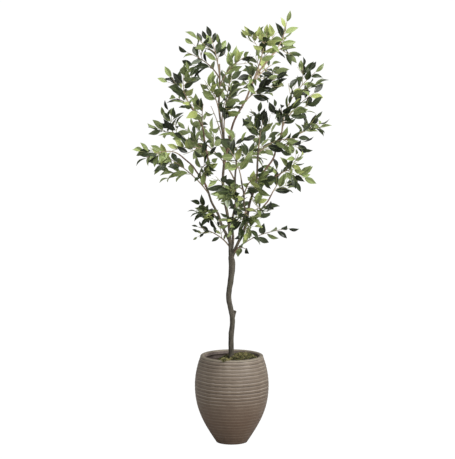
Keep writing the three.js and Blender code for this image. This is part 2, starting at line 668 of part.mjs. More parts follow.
// A three-sided twig whose blades grow out of its sides and its end, eight faces to a blade
function twigGeometry({ path, side, radii, length, leaves }) {
  const corners = [];
  const faces = [];

  const addCorner = (corner) => corners.push(corner) - 1;

  const addRing = (share) =>
    [0, 120, 240].map((turn) => {
      const away = leaning(path.getTangent(share), side, Math.PI / 2, radians(turn));
      return addCorner(path.getPoint(share).addScaledVector(away, mix(...radii, share)));
    });

  // Every way of starting a loop of corners
  const turned = (loop) => loop.map((corner, i) => [...loop.slice(i), ...loop.slice(0, i)]);

  const volume = (i, ...others) => {
    const [a, b, c] = others.map((j) => corners[j].clone().sub(corners[i]));
    return a.cross(b).dot(c);
  };

  // The blade replaces a four-sided loop, and starts it where the thinner of its two sides is thickest
  const addBlade = (loops, leaf) => {
    const widest = leafShape.widest * leaf.length;
    const rise = leafShape.arch * leaf.length;
    const left = addCorner(onLeaf(leaf, widest, leaf.halfWidth, rise));
    const right = addCorner(onLeaf(leaf, widest, -leaf.halfWidth, rise));
    const tip = addCorner(onLeaf(leaf, leaf.length, 0, 0));
    const thinner = ([a, b, c, d]) => Math.min(volume(a, d, left, tip), volume(b, right, c, tip));
    const [a, b, c, d] = loops.reduce((best, loop) => (thinner(loop) > thinner(best) ? loop : best));
    faces.push(a, b, tip, a, tip, left, b, right, tip, a, left, d);
    faces.push(c, d, tip, d, left, tip, c, tip, right, b, c, right);
  };

  const joinRings = (lower, upper, leaf) => {
    for (let k = 0; k < 3; k++) {
      const next = (k + 1) % 3;
      const loop = [lower[k], lower[next], upper[next], upper[k]];
      if (leaf && leaf.rank === k) addBlade(turned(loop), leaf);
      else faces.push(loop[0], loop[1], loop[2], loop[0], loop[2], loop[3]);
    }
  };

  let ring = addRing(0);
  faces.push(ring[0], ring[2], ring[1]);
  const half = leafShape.root / (2 * length);
  for (const leaf of leaves.filter(({ isTip }) => !isTip)) {
    const lower = addRing(leaf.share - half);
    const upper = addRing(leaf.share + half);
    joinRings(ring, lower);
    joinRings(lower, upper, leaf);
    ring = upper;
  }
  const end = addRing(1);
  joinRings(ring, end);
  const tipLeaf = leaves.find(({ isTip }) => isTip);
  if (tipLeaf) {
    const loops = turned(end).flatMap(([a, b, c]) => [[a, b, c, c], [a, a, b, c]]);
    addBlade(loops, tipLeaf);
  } else {
    faces.push(...end);
  }
  return new THREE.BufferGeometry().setFromPoints(corners).setIndex(faces);
}

function addSprays() {
  for (const spray of sprays) {
    const path = sprayPath(spray);
    const points = path.getPoints(6);
    stems.push({ path, lines: points.slice(1).map((point, i) => new THREE.Line3(points[i], point)) });
  }
  sprays.forEach((spray, index) => {
    const twigs = growTwigs(spray, index);
    growLeaves(twigs, index, spray.size);
    let solid = wasm.Manifold.union(twigs.map((twig) => solidOf(twigGeometry(twig))));
    for (const { sleeve } of wood.values()) solid = solid.subtract(sleeve);
    addNode(spray.name, geometryOf(mainBody(solid).simplify(sliver)), finishes.leaf);
  });
}

addNode("planter", planterGeometry(), finishes.planter);
addNode("soil", soilGeometry(), finishes.soil);
addLimbs();
addNode("moss", geometryOf(mainBody(mossSolid().subtract(wood.get("trunk").sleeve))), finishes.moss);
addSprays();

export default tree;
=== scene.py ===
# Looks of the potted laurel tree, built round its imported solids. Metres, +Z up, the front towards -Y.

import math

import bmesh
import bpy
import numpy as np
from mathutils import Matrix, Vector, noise


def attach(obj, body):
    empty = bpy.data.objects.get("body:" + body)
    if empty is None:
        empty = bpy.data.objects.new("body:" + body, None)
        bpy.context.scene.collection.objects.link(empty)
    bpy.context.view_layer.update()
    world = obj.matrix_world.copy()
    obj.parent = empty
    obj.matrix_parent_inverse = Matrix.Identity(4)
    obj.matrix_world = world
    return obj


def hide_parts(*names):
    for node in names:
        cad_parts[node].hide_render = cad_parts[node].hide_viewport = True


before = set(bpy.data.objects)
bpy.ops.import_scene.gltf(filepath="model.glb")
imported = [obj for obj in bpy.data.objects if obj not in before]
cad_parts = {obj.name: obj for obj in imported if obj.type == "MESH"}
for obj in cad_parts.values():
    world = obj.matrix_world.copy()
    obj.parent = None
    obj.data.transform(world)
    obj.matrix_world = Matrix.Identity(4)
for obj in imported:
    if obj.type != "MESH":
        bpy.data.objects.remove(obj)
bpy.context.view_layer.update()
scene = bpy.context.scene
mm = 0.001  # sizes below are in millimetres, and meshes in metres
upwards = Vector((0, 0, 1))
print("frame loaded,", len(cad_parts), "solids")


def linearColour(hexText):
    # sRGB hex to the linear colour that a shader takes
    channels = [int(hexText[i:i + 2], 16) / 255 for i in (1, 3, 5)]
    return [c / 12.92 if c <= 0.04045 else ((c + 0.055) / 1.055) ** 2.4 for c in channels] + [1]


def addNode(tree, kind, inputs=None, **settings):
    # one node with its settings, and its inputs given as values or links
    node = tree.nodes.new(kind)
    for name, value in settings.items():
        setattr(node, name, value)
    for key, value in (inputs or {}).items():
        if isinstance(value, bpy.types.NodeSocket):
            tree.links.new(value, node.inputs[key])
        else:
            node.inputs[key].default_value = value
    return node


def newMaterial(name, surface):
    # the surface's constant values go on the shader's own sockets; its patterns lie in the piece's own space
    material = bpy.data.materials.new(name)
    material.use_nodes = True
    tree = material.node_tree
    tree.nodes.clear()
    shader = addNode(tree, "ShaderNodeBsdfPrincipled", surface)
    addNode(tree, "ShaderNodeOutputMaterial", {"Surface": shader.outputs["BSDF"]})
    return material, tree, shader, addNode(tree, "ShaderNodeTexCoord").outputs["Object"]


def maths(tree, operation, *values):
    return addNode(tree, "ShaderNodeMath", dict(enumerate(values)), operation=operation).outputs[0]


def ranged(tree, value, low, high, least=0, most=1, **settings):
    # a value between low and high, carried over to between least and most
    spread = {0: value, 1: low, 2: high, 3: least, 4: most}
    return addNode(tree, "ShaderNodeMapRange", spread, **settings).outputs[0]


def blended(tree, share, first, second, **settings):
    # two colours, each hex text or a link, mixed by a share
    first, second = [linearColour(c) if isinstance(c, str) else c for c in (first, second)]
    pair = {0: share, 6: first, 7: second}
    return addNode(tree, "ShaderNodeMix", pair, data_type="RGBA", **settings).outputs[2]


def cloudy(tree, spot, size, detail, roughness=0.5):
    # noise whose patches measure about a size in metres
    look = {"Vector": spot, "Scale": 1 / size, "Detail": detail, "Roughness": roughness}
    return addNode(tree, "ShaderNodeTexNoise", look).outputs["Fac"]


def streaked(tree, spot, across, along, detail):
    # noise drawn out upwards, by its sizes across and along in metres
    scale = (1 / across, 1 / across, 1 / along)
    pulled = addNode(tree, "ShaderNodeMapping", {"Vector": spot, "Scale": scale})
    return cloudy(tree, pulled.outputs[0], 1, detail)


def heightOf(tree, spot):
    return addNode(tree, "ShaderNodeSeparateXYZ", {0: spot}).outputs["Z"]


def relief(tree, shader, height, strength, depth, **settings):
    # fine relief, its depth in metres
    look = {"Height": height, "Strength": strength, "Distance": depth}
    bump = addNode(tree, "ShaderNodeBump", look, **settings)
    tree.links.new(bump.outputs[0], shader.inputs["Normal"])


def coat(tree, shader, colour, height, **settings):
    tree.links.new(colour, shader.inputs["Base Color"])
    relief(tree, shader, height, **settings)


def attributeOf(tree, name, kind="FLOAT"):
    return addNode(tree, "GeometryNodeInputNamedAttribute", {"Name": name}, data_type=kind).outputs[0]


def among(tree, name, least, most):
    # true where a whole-number attribute lies in a range
    number, test = attributeOf(tree, name, "INT"), "FunctionNodeCompare"
    low = addNode(tree, test, {2: number, 3: least}, data_type="INT", operation="GREATER_EQUAL")
    high = addNode(tree, test, {2: number, 3: most}, data_type="INT", operation="LESS_EQUAL")
    return addNode(tree, "FunctionNodeBooleanMath", {0: low.outputs[0], 1: high.outputs[0]}).outputs[0]


def through(tree, kind, geometry, **inputs):
    # the geometry that comes out of one more node
    return addNode(tree, "GeometryNode" + kind, {"Geometry": geometry, **inputs}).outputs[0]


def skinned(tree, geometry, name, finishes):
    # a finish for every number that a whole-number attribute holds
    for number, material in enumerate(finishes):
        chosen = among(tree, name, number, number)
        geometry = through(tree, "SetMaterial", geometry, Selection=chosen, Material=material)
    return geometry


def strewn(tree, name, meshes, points, number, turn, scale):
    # on every point one of the meshes, by its number, turned and scaled
    kinds = bpy.data.collections.new(name)
    for mesh in meshes:
        kinds.objects.link(bpy.data.objects.new(mesh.name, mesh))
    shown = addNode(tree, "GeometryNodeCollectionInfo", {
        "Collection": kinds, "Separate Children": True, "Reset Children": True})
    spread = addNode(tree, "GeometryNodeInstanceOnPoints", {
        "Points": points, "Instance": shown.outputs[0], "Pick Instance": True, "Instance Index": number,
        "Rotation": turn, "Scale": scale})
    return through(tree, "RealizeInstances", spread.outputs[0])


def newTree(name, **inputs):
    # a geometry tree with a mesh in, a mesh out and named inputs for its sizes
    tree = bpy.data.node_groups.new(name, "GeometryNodeTree")
    tree.interface.new_socket("Geometry", in_out="INPUT", socket_type="NodeSocketGeometry")
    for label, kind in inputs.items():
        tree.interface.new_socket(label, in_out="INPUT", socket_type="NodeSocket" + kind)
    tree.interface.new_socket("Geometry", in_out="OUTPUT", socket_type="NodeSocketGeometry")
    return tree, addNode(tree, "NodeGroupInput").outputs


def newMesh(name, points, faces, edges=()):
    mesh = bpy.data.meshes.new(name)
    mesh.from_pydata([tuple(p) for p in points], list(edges), list(faces))
    return mesh


def setAttribute(mesh, name, kind, values, domain="POINT"):
    attribute = mesh.attributes.new(name, kind, domain)
    attribute.data.foreach_set("vector" if kind == "FLOAT_VECTOR" else "value", np.ravel(values))


def placed(name, mesh):
    piece = bpy.data.objects.new(name, mesh)
    scene.collection.objects.link(piece)
    return piece


def settled(piece):
    # the evaluated result as a plain mesh, with every modifier gone
    graph = bpy.context.evaluated_depsgraph_get()
    made = bpy.data.meshes.new_from_object(piece.evaluated_get(graph))
    piece.modifiers.clear()
    piece.data = made
    made.name = piece.name
    return piece


def grown(name, mesh, tree, values):
    # a mesh run through a geometry tree, whose inputs are set by their identifiers first
    piece = placed(name, mesh)
    modifier = piece.modifiers.new(name, "NODES")
    modifier.node_group = tree
    for item in tree.interface.items_tree:
        if item.in_out == "INPUT" and item.name in values:
            modifier[item.identifier] = values[item.name]
    return settled(piece)


def finished(piece, slot, *nodes):
    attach(piece, "root")
    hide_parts(*nodes)
    piece.data.calc_loop_triangles()
    print(piece.name, "done,", len(piece.data.loop_triangles), "triangles")
    return piece


def chance(least, most, *keys):
    # a repeatable random number for any set of whole-number keys
    state = 0
    for key in keys:
        state = ((state ^ (key + 1)) * 2246822519) & 0xFFFFFFFF
        state = ((state ^ (state >> 15)) * 3266489917) & 0xFFFFFFFF
        state ^= state >> 13
    return least + (most - least) * state / 2 ** 32


def mix(a, b, share):
    return a + (b - a) * share


class Path:
    # a curve given by a function of its parameter, measured along its length
    def __init__(self, pointAt, pieces=64):
        self.pointAt = pointAt
        self.params = np.linspace(0, 1, pieces + 1)
        points = [pointAt(t) for t in self.params]
        steps = [(b - a).length for a, b in zip(points, points[1:])]
        self.length = sum(steps)
        self.shares = np.cumsum([0, *steps]) / self.length

    def tangent(self, t, nudge=1e-4):
        return (self.pointAt(min(1, t + nudge)) - self.pointAt(max(0, t - nudge))).normalized()

    def even(self, count):
        shares = np.linspace(0, 1, count)
        return shares, [self.pointAt(t) for t in np.interp(shares, self.shares, self.params)]


def quadratic(a, b, c):
    return lambda t: a * (1 - t) ** 2 + b * (2 * t * (1 - t)) + c * (t * t)


def cubic(a, b, c, d):
    return lambda t: a * (1 - t) ** 3 + b * (3 * t * (1 - t) ** 2) + c * (3 * t * t * (1 - t)) + d * t ** 3


# Planter: a turned shell with coiled ribs, its wall drawn by two curves from the foot to the lip
planter = {
    "height": 436, "footRadius": 75, "footHandle": (134, 88), "footEdge": (2, 0.6), "footFlat": (0, 37.5, 72),
    "bellyRadius": 182.5, "bellyHeight": 285, "bellyHandles": (165, 335), "rimHandle": (170, 392),
    "rimRadius": 155, "pieces": 400, "wall": 12, "floor": 16, "innerStep": 14, "innerRoom": (6, 8),
    "lipWidth": 19, "lipHeight": 9, "lipBulge": 0.4, "lipDrop": 0.9, "lipSquare": 0.7, "lipTurn": 200,
    "lipInside": 150, "lipRows": 21, "ledgeBelowRim": 19, "ledge": 2.2, "ledgeEdge": ((0, 2), (-0.3, 0.6)),
    "ribs": 26, "ribDepth": 3.6, "ribWobble": 0.096, "ribStart": 6, "faintRibs": (170, 280, 0.25),
    "rowsPerRib": 10, "sides": 160, "unevenness": 2.6, "ribFlank": 2.2, "ribCrest": 0.6, "leastWear": 0.4,
    # the next entry places a painted highlight along the upper edge of each rib
    "paintedRibHighlightAt": (0.76, 0.14),  # the upper edge of a rib, as a share of it and how far to both sides
}


def planterWall():
    # the wall without its ribs, radius and height, evenly spaced from foot to lip
    p = planter
    belly = Vector((p["bellyRadius"], p["bellyHeight"]))
    low = cubic(Vector((p["footRadius"], 0)), Vector(p["footHandle"]),
                Vector((p["bellyRadius"], p["bellyHandles"][0])), belly)
    high = cubic(belly, Vector((p["bellyRadius"], p["bellyHandles"][1])), Vector(p["rimHandle"]),
                 Vector((p["rimRadius"], p["height"] - p["lipHeight"])))
    wall = Path(lambda t: low(t * 2) if t < 0.5 else high(t * 2 - 1), p["pieces"])
    return wall.even(p["ribs"] * p["rowsPerRib"] + 1)[1]


def planterProfile():
    # rows of radius, height, rib phase, strength of the ribs and whether the row is inside
    p = planter
    wall = planterWall()
    rows = [(r, 0, 0, 0, 0) for r in p["footFlat"]]
    low, high, least = p["faintRibs"]
    for i, (r, z) in enumerate(wall):
        strength = min(1, i / p["ribStart"]) * mix(least, 1, min(1, max(0, (z - low) / (high - low))))
        inwards, up = (0, 0) if i else p["footEdge"]
        rows.append((r - inwards, max(z, up), i / p["rowsPerRib"], strength, 0))
    outer, inner = p["rimRadius"], p["rimRadius"] - p["lipWidth"]
    middle, reach = (outer + inner) / 2, (outer - inner) / 2 + p["lipBulge"]
    for turn in np.linspace(0, p["lipTurn"], p["lipRows"]):  # the rounded lip
        a = math.radians(turn)
        r = middle + reach * math.copysign(abs(math.cos(a)) ** p["lipSquare"], math.cos(a))
        z = p["height"] - p["lipDrop"] * p["lipHeight"] * (1 - math.sin(a))
        rows.append((r, z, 0, 0, turn > p["lipInside"]))
    ledge = p["height"] - p["ledgeBelowRim"]
    foot = next(r for r, z in wall if z > p["floor"]) - p["wall"]
    below, above = p["floor"] + p["innerRoom"][0], ledge - p["innerRoom"][1]
    inside = [(inner + x, ledge + z) for x, z in p["ledgeEdge"]] + [(inner + p["ledge"], ledge)]
    inside += [(r - p["wall"], z) for r, z in wall[::-p["innerStep"]] if below < z < above]
    inside += [(foot, p["floor"]), (0, p["floor"])]
    return np.array(rows + [(r, z, 0, 0, 1) for r, z in inside], float)


def planterTree(outside, inside):
    # turns the profile into a shell and lays the ribs on it, a little uneven as if coiled by hand
    p = planter
    tree, given = newTree("turnedRibs", Sides="Int", RibDepth="Float", RibWobble="Float")
    size = addNode(tree, "GeometryNodeAttributeDomainSize", {0: given["Geometry"]})
    last = maths(tree, "SUBTRACT", size.outputs["Point Count"], 1)
    drum = addNode(tree, "GeometryNodeMeshCylinder", {
        "Vertices": given["Sides"], "Side Segments": last, "Radius": 1, "Depth": 1}, fill_type="NONE")
    position = addNode(tree, "GeometryNodeInputPosition").outputs[0]
    place = addNode(tree, "ShaderNodeSeparateXYZ", {0: position}).outputs
    row = maths(tree, "ROUND", maths(tree, "MULTIPLY", maths(tree, "ADD", place["Z"], 0.5), last))

    def sampled(value, kind="FLOAT"):
        # a value of the profile's point in the same row
        source = {"Geometry": given["Geometry"], "Value": value, "Index": row}
        return addNode(tree, "GeometryNodeSampleIndex", source, data_type=kind).outputs[0]

    spot = addNode(tree, "ShaderNodeSeparateXYZ", {0: sampled(position, "FLOAT_VECTOR")}).outputs
    around = addNode(tree, "ShaderNodeCombineXYZ", {"X": place["X"], "Y": place["Y"], "Z": spot["Z"]})
    uneven = cloudy(tree, around.outputs[0], size=1 / p["unevenness"], detail=1)
    drift = maths(tree, "MULTIPLY", maths(tree, "SUBTRACT", uneven, 0.5), given["RibWobble"])
    phase = maths(tree, "ADD", sampled(attributeOf(tree, "ribPhase")), drift)
    swing = maths(tree, "PINGPONG", phase, 0.5)  # 0 in a groove
    flank = maths(tree, "POWER", ranged(tree, swing, 0, 0.5, 1, 0), p["ribFlank"])
    crest = maths(tree, "POWER", maths(tree, "SUBTRACT", 1, flank), p["ribCrest"])
    luck = addNode(tree, "ShaderNodeTexWhiteNoise", {"W": maths(tree, "FLOOR", phase)}, noise_dimensions="1D")
    ribShare = ranged(tree, luck.outputs["Value"], 0, 1, p["leastWear"], 1)  # no two ribs alike
    depth = maths(tree, "MULTIPLY", ribShare, sampled(attributeOf(tree, "ribStrength")))
    groove = maths(tree, "MULTIPLY", maths(tree, "SUBTRACT", 1, crest), depth)
    # the upper edge of each rib, where the material paints a highlight
    upper = maths(tree, "COMPARE", maths(tree, "FRACT", phase), *p["paintedRibHighlightAt"])
    sunk = maths(tree, "MULTIPLY", groove, given["RibDepth"])
    radius = maths(tree, "MAXIMUM", maths(tree, "SUBTRACT", spot["X"], sunk), 0)
    x, y = [maths(tree, "MULTIPLY", place[axis], radius) for axis in "XY"]
    point = addNode(tree, "ShaderNodeCombineXYZ", {"X": x, "Y": y, "Z": spot["Z"]})
    stored = {"groove": groove, "scuff": maths(tree, "MULTIPLY", upper, depth),
              "insideWall": sampled(attributeOf(tree, "inside"))}
    shell = drum.outputs["Mesh"]
    for name, value in stored.items():
        shell = through(tree, "StoreNamedAttribute", shell, Name=name, Value=value)
    shell = through(tree, "SetPosition", shell, Position=point.outputs[0])
    shell = through(tree, "MergeByDistance", shell, Distance=1e-6)
    shell = through(tree, "SetShadeSmooth", shell)
    shell = through(tree, "RealizeInstances", shell)
    shell = through(tree, "SetMaterial", shell, Material=outside)
    within = {0: attributeOf(tree, "insideWall"), 1: 0.5}
    within = addNode(tree, "FunctionNodeCompare", within, operation="GREATER_THAN").outputs[0]
    shell = through(tree, "SetMaterial", shell, Selection=within, Material=inside)
    addNode(tree, "NodeGroupOutput", {"Geometry": shell})
    return tree


def castResin():
    # moulded stone-filled resin, satin: grey-brown with a painted highlight along the upper edge of each rib,
    # painted shade in the grooves and a browner lower half
    material, tree, shader, spot = newMaterial("castStoneResin", {
        "Roughness": 0.6, "IOR": 1.5, "Specular IOR Level": 0.4})
    clouds = cloudy(tree, spot, size=0.09, detail=4, roughness=0.6)
    grit = cloudy(tree, spot, size=0.005, detail=3, roughness=0.7)
    groove, scuff = [addNode(tree, "ShaderNodeAttribute", attribute_name=name).outputs["Fac"]
                     for name in ("groove", "scuff")]
    height = heightOf(tree, spot)
    towardsFoot = ranged(tree, height, 0.38, 0.12, 0, 0.9)
    onLip = ranged(tree, height, 0.426, 0.429, 0, 0.55)
    specks = ranged(tree, grit, 0.35, 0.7, 0.88, 1.1)
    # painted shade darkens the grooves
    paintedGrooveShade = ranged(tree, groove, 0.15, 0.8, 0, 0.85)
    # a painted highlight along the upper edge of each rib, in patches
    ribShare = maths(tree, "MULTIPLY", scuff, clouds)
    colour = blended(tree, clouds, "#5a4e43", "#7c7062")
    colour = blended(tree, towardsFoot, colour, "#4c3828")
    colour = blended(tree, onLip, colour, "#8a8272")
    colour = blended(tree, 1, colour, specks, blend_type="MULTIPLY")
    colour = blended(tree, paintedGrooveShade, colour, "#2a231d")
    colour = blended(tree, ribShare, colour, "#a1978a")
    coat(tree, shader, colour, grit, strength=0.35, depth=0.0012)
    return material


def rawResin():
    # the unpainted inner wall: purple-brown, streaked downwards by water
    material, tree, shader, spot = newMaterial("unpaintedResin", {
        "Roughness": 0.8, "IOR": 1.5, "Specular IOR Level": 0.3})
    streaks = streaked(tree, spot, across=0.012, along=0.09, detail=3)
    coat(tree, shader, blended(tree, streaks, "#5a4f49", "#857972"), streaks, strength=0.2, depth=0.001)
    return material


rows = planterProfile()
edges = [(i, i + 1) for i in range(len(rows) - 1)]
profile = newMesh("planterProfile", rows[:, [0, 2, 1]] * (mm, 0, mm), [], edges)
for column, name in ((2, "ribPhase"), (3, "ribStrength"), (4, "inside")):
    setAttribute(profile, name, "FLOAT", rows[:, column])
ribbedPlanter = grown("ribbedPlanter", profile, planterTree(castResin(), rawResin()), {
    "Sides": planter["sides"], "RibDepth": planter["ribDepth"] * mm, "RibWobble": planter["ribWobble"]})
finished(ribbedPlanter, "planter", "planter")

# Soil: a crumbly bed, clear of the planter's wall
soil = {"depthBelowRim": 40, "clear": 0.5, "crumb": 9, "fineCrumb": (0.6, 2.3), "rise": 3.5, "edge": 12,
        "sunk": 3, "brim": 4, "sideStep": 12, "sideRoom": (8, 12), "footRadius": 66, "footEdge": 4,
        "rings": 46, "sides": 132}
soilHeight = planter["height"] - soil["depthBelowRim"]


def roundBed(name, outline, rings, sides, riseAt):
    # a closed round bed: a rising top of rings, and a side that goes down its outline from the widest row
    points = [(0, 0, riseAt(0, 0))]
    turns = [2 * math.pi * j / sides for j in range(sides)]
    for k in range(1, rings + 1):
        r = outline[0][0] * k / rings
        for a in turns:
            x, y = r * math.cos(a), r * math.sin(a)
            points.append((x, y, riseAt(x, y)))
    for r, z in outline:
        points += [(r * math.cos(a), r * math.sin(a), z) for a in turns]
    points.append((0, 0, outline[-1][1]))
    following = [(j + 1) % sides for j in range(sides)]
    faces = [(0, 1 + j, 1 + n) for j, n in enumerate(following)]
    for k in range(rings + len(outline) - 1):
        at = 1 + k * sides
        faces += [(at + j, at + sides + j, at + sides + n, at + n) for j, n in enumerate(following)]
    at = len(points) - 1 - sides
    faces += [(at + n, at + j, len(points) - 1) for j, n in enumerate(following)]
    mesh = newMesh(name, np.array(points) * mm, faces)
    mesh.shade_smooth()
    return mesh


def pottingSoil():
    # damp peat with bark crumbs: nearly black with brown flecks and no shine
    material, tree, shader, spot = newMaterial("pottingSoil", {"Roughness": 0.95, "Specular IOR Level": 0.2})
    crumbs = addNode(tree, "ShaderNodeTexVoronoi", {"Vector": spot, "Scale": 1 / 0.006}).outputs
    shade = addNode(tree, "ShaderNodeSeparateColor", {0: crumbs["Color"]}).outputs[0]
    peat = blended(tree, shade, "#241b15", "#554438")
    coat(tree, shader, peat, crumbs["Distance"], strength=0.6, depth=0.003, invert=True)
    return material


def lumps(x, y, size, seeds, fine):
    # two sizes of lumps, the finer ones a share of the others
    share, finer = fine
    coarse, small = [noise.noise(Vector((x, y, seed)) / size * k) for seed, k in zip(seeds, (1, finer))]
    return coarse + share * small


def soilRise(x, y):
    edge = min(1, max(0, (soil["bedRadius"] - math.hypot(x, y)) / soil["edge"]))
    crumbs = lumps(x, y, soil["crumb"], (3, 9), soil["fineCrumb"])
    return soilHeight - soil["sunk"] + edge * soil["rise"] * crumbs


wallRows = [(r - planter["wall"] - soil["clear"], z) for r, z in planterWall()]
low, high = planter["floor"] + soil["sideRoom"][0], soilHeight - soil["sideRoom"][1]
side = [(r, z) for r, z in wallRows[::-soil["sideStep"]] if low < z < high]
soil["bedRadius"] = min(r for r, z in wallRows if high < z < soilHeight)
foot = min(side[-1][0] - soil["footEdge"], soil["footRadius"]), planter["floor"] + soil["clear"]
outline = [(soil["bedRadius"], soilHeight - soil["brim"]), *side, foot]
peatBed = placed("peatBed", roundBed("peatBed", outline, soil["rings"], soil["sides"], soilRise))
peatBed.data.materials.append(pottingSoil())
finished(peatBed, "soil", "soil")

# Trunk, stems and boughs: each limb leaves its parent part-way along it and ends at its own tip
trunk = {
    "forkHeight": 934, "footRadius": 15, "waistRadius": 13.2, "forkRadius": 18, "flareHeight": 45,
    "buried": 6, "swellFrom": 0.55, "crotchFrom": 0.93, "crotchTaper": 0.4, "pieces": 160,
    "bends": ((0, -2, 0), (0.24, -3, 4), (0.42, 3, 2), (0.61, -15, -3), (0.77, -5, -2), (0.9, 1, 0),
              (1, -4, 0)),
    "stubFoot": (4, 2, 612), "stubTip": (17, 0, 657), "stubRadii": (9.5, 7.5), "stubStep": 4,
    "knots": ((-11, -3, 548, 4.5), (9, -8, 742, 4), (-9, -6, 868, 3.5)),  # place and size of old leaf scars
    "knotShape": (1.9, 0.55, 0.5, 2.6),  # its spread, its rise, and the depth and narrowness of its dimple
    "lowFork": 0.1, "stemFoot": 95, "stemSwell": (1.5, 0.9, 0.6), "stemSides": 24,
    "sides": 40, "step": 6, "voxel": 1.25, "softening": (0.5, 5), "lump": (24, 0.9),
    "furrow": 5.5, "furrowDepth": 1.1, "furrowPull": 7, "furrowWidth": 2.4,
}
limbs = {
    "stem_leader": ("trunk", 1, (-61, 40, 1870), (-10, 8, 0), (8, 4)),
    "stem_right": ("trunk", 0.95, (130, -60, 1468), (27, -8, -10), (7.6, 4.2)),
    "stem_left": ("stem_leader", 0.07, (-133, -50, 1300), (-4, -6, 0), (6.8, 4.6)),
    "stem_back": ("trunk", 0.975, (24, 205, 1390), (0, 34, -40), (6.8, 4.2)),
    "stem_front": ("stem_right", 0.33, (46, -200, 1330), (6, -22, -22), (5.4, 3.8)),
    "bough_right_peak": ("stem_leader", 0.48, (215, 60, 1936), (-34, 4, 22), (5.8, 3.6)),
    "bough_left_peak": ("stem_left", 1, (-206, -20, 1682), (42, 0, 6), (4.5, 3.4)),
    "bough_right_high": ("stem_right", 0.72, (250, 15, 1588), (22, 0, -14), (4.8, 3.6)),
    "bough_left_far": ("stem_left", 0.93, (-256, -118, 1446), (8, -12, 12), (4.2, 3.4)),
    "bough_left_back": ("bough_left_peak", 0.36, (-228, 98, 1490), (10, 18, 8), (4, 3.2)),
    "bough_right_mid": ("stem_right", 0.62, (240, -138, 1358), (0, -14, 6), (4.2, 3.4)),
    "bough_right_far": ("bough_right_high", 0.62, (300, 98, 1490), (0, 14, -16), (4, 3.2)),
    "bough_right_low": ("stem_right", 0.34, (196, 58, 1228), (10, 10, -8), (4.4, 3.4)),
    "bough_low_right": ("stem_right", 0.05, (72, -50, 1008), (-4, -4, 3), (3.8, 3)),
}
limbRule = {"clearance": 0.3, "swayShare": 0.012, "swayTurns": (2.2, 2.7), "swayPhase": 0.618, "step": 3.2,
            "collar": 0.55, "collarLength": 9, "nodeSpacing": 34, "nodeSwell": 0.1, "nodeNarrow": 12}
limbSkin = {"Sides": 16, "Relief": 0.28 * mm, "Grain": 5 * mm}


def trunkPath():
    height = trunk["forkHeight"] - soilHeight + trunk["buried"]
    knots = [Vector((x, y, trunk["forkHeight"] - (1 - s) * height)) for s, x, y in trunk["bends"]]

    def pointAt(t):
        i = min(int(t * (len(knots) - 1)), len(knots) - 2)
        u = t * (len(knots) - 1) - i
        a, b = knots[i], knots[i + 1]
        before = knots[i - 1] if i else 2 * a - b
        after = knots[i + 2] if i < len(knots) - 2 else 2 * b - a
        leave, enter = (b - before) / 2, (after - a) / 2
        bend = (leave + enter - 2 * (b - a)) * u ** 3 + (3 * (b - a) - 2 * leave - enter) * u * u
        return a + leave * u + bend

    return Path(pointAt, trunk["pieces"])


def rising(share, start):
    # from 0 at the start to 1 at the end, ever faster
    return max(0, (share - start) / (1 - start)) ** 2


def trunkRadius(share):
    t = trunk
    flare = max(0, 1 - share * (t["forkHeight"] - soilHeight) / t["flareHeight"]) ** 2
    swell = (t["forkRadius"] - t["waistRadius"]) * rising(share, t["swellFrom"])
    return mix(t["waistRadius"], t["footRadius"], flare) + swell


def limbPath(start, tip, bow, index):
    curve = quadratic(start, (start + tip) / 2 + bow * 2, tip)
    sway, phase = limbRule["swayShare"] * (tip - start).length, limbRule["swayPhase"] * index

    def pointAt(t):
        a, b = [2 * math.pi * (turns * t + phase) for turns in limbRule["swayTurns"]]
        return curve(t) + Vector((math.sin(a), math.cos(b), 0)) * (sway * math.sin(math.pi * t))

    return Path(pointAt)


wood = {"trunk": {"path": trunkPath(), "radiusAt": trunkRadius}}
for index, (name, (parent, at, tip, bow, radii)) in enumerate(limbs.items()):
    start = wood[parent]["path"].pointAt(at)
    if at == 1:
        start = start + wood[parent]["path"].tangent(1) * limbRule["clearance"]
    path = limbPath(start, Vector(tip), Vector(bow), index)
    wood[name] = {"path": path, "radiusAt": lambda share, radii=radii: mix(*radii, share)}


def tube(path, radiusAt, sides, step, until=1.0):
    # points and faces of a closed tube
    count = max(4, round(path.length * until / step))
    shares, line = path.even(round(count / until))
    points, faces, side = [], [], Vector((1, 0, 0))
    turns = [2 * math.pi * j / sides for j in range(sides)]
    for i, (share, spot) in enumerate(zip(shares[:count], line)):
        way = (line[min(i + 1, count - 1)] - line[max(i - 1, 0)]).normalized()
        side = (side - way * side.dot(way)).normalized()
        across = way.cross(side)
        points += [spot + (side * math.cos(a) + across * math.sin(a)) * radiusAt(share) for a in turns]
    for at in range(0, (count - 1) * sides, sides):
        faces += [(at + j, at + n, at + sides + n, at + sides + j)
                  for j, n in enumerate([*range(1, sides), 0])]
    return points, faces + [tuple(reversed(range(sides))), tuple(range((count - 1) * sides, count * sides))]


def joinedTubes(name, tubes):
    points, faces = [], []
    for tubePoints, tubeFaces in tubes:
        faces += [tuple(len(points) + i for i in face) for face in tubeFaces]
        points += [p * mm for p in tubePoints]
    return newMesh(name, points, faces)


def greyBark():
    # real trunk wood with thin grey-brown bark: dull, streaked along the stem, with olive patches
    material, tree, shader, spot = newMaterial("greyBark", {"Roughness": 0.86, "Specular IOR Level": 0.25})
    streaks = streaked(tree, spot, across=0.004, along=0.045, detail=4)
    bark = blended(tree, ranged(tree, streaks, 0.3, 0.72), "#2d2922", "#5e584e")
    olive = ranged(tree, cloudy(tree, spot, size=0.05, detail=2), 0.5, 0.75, 0, 0.5)
    coat(tree, shader, blended(tree, olive, bark, "#403f2f"), streaks, strength=0.5, depth=0.0015)
    return material


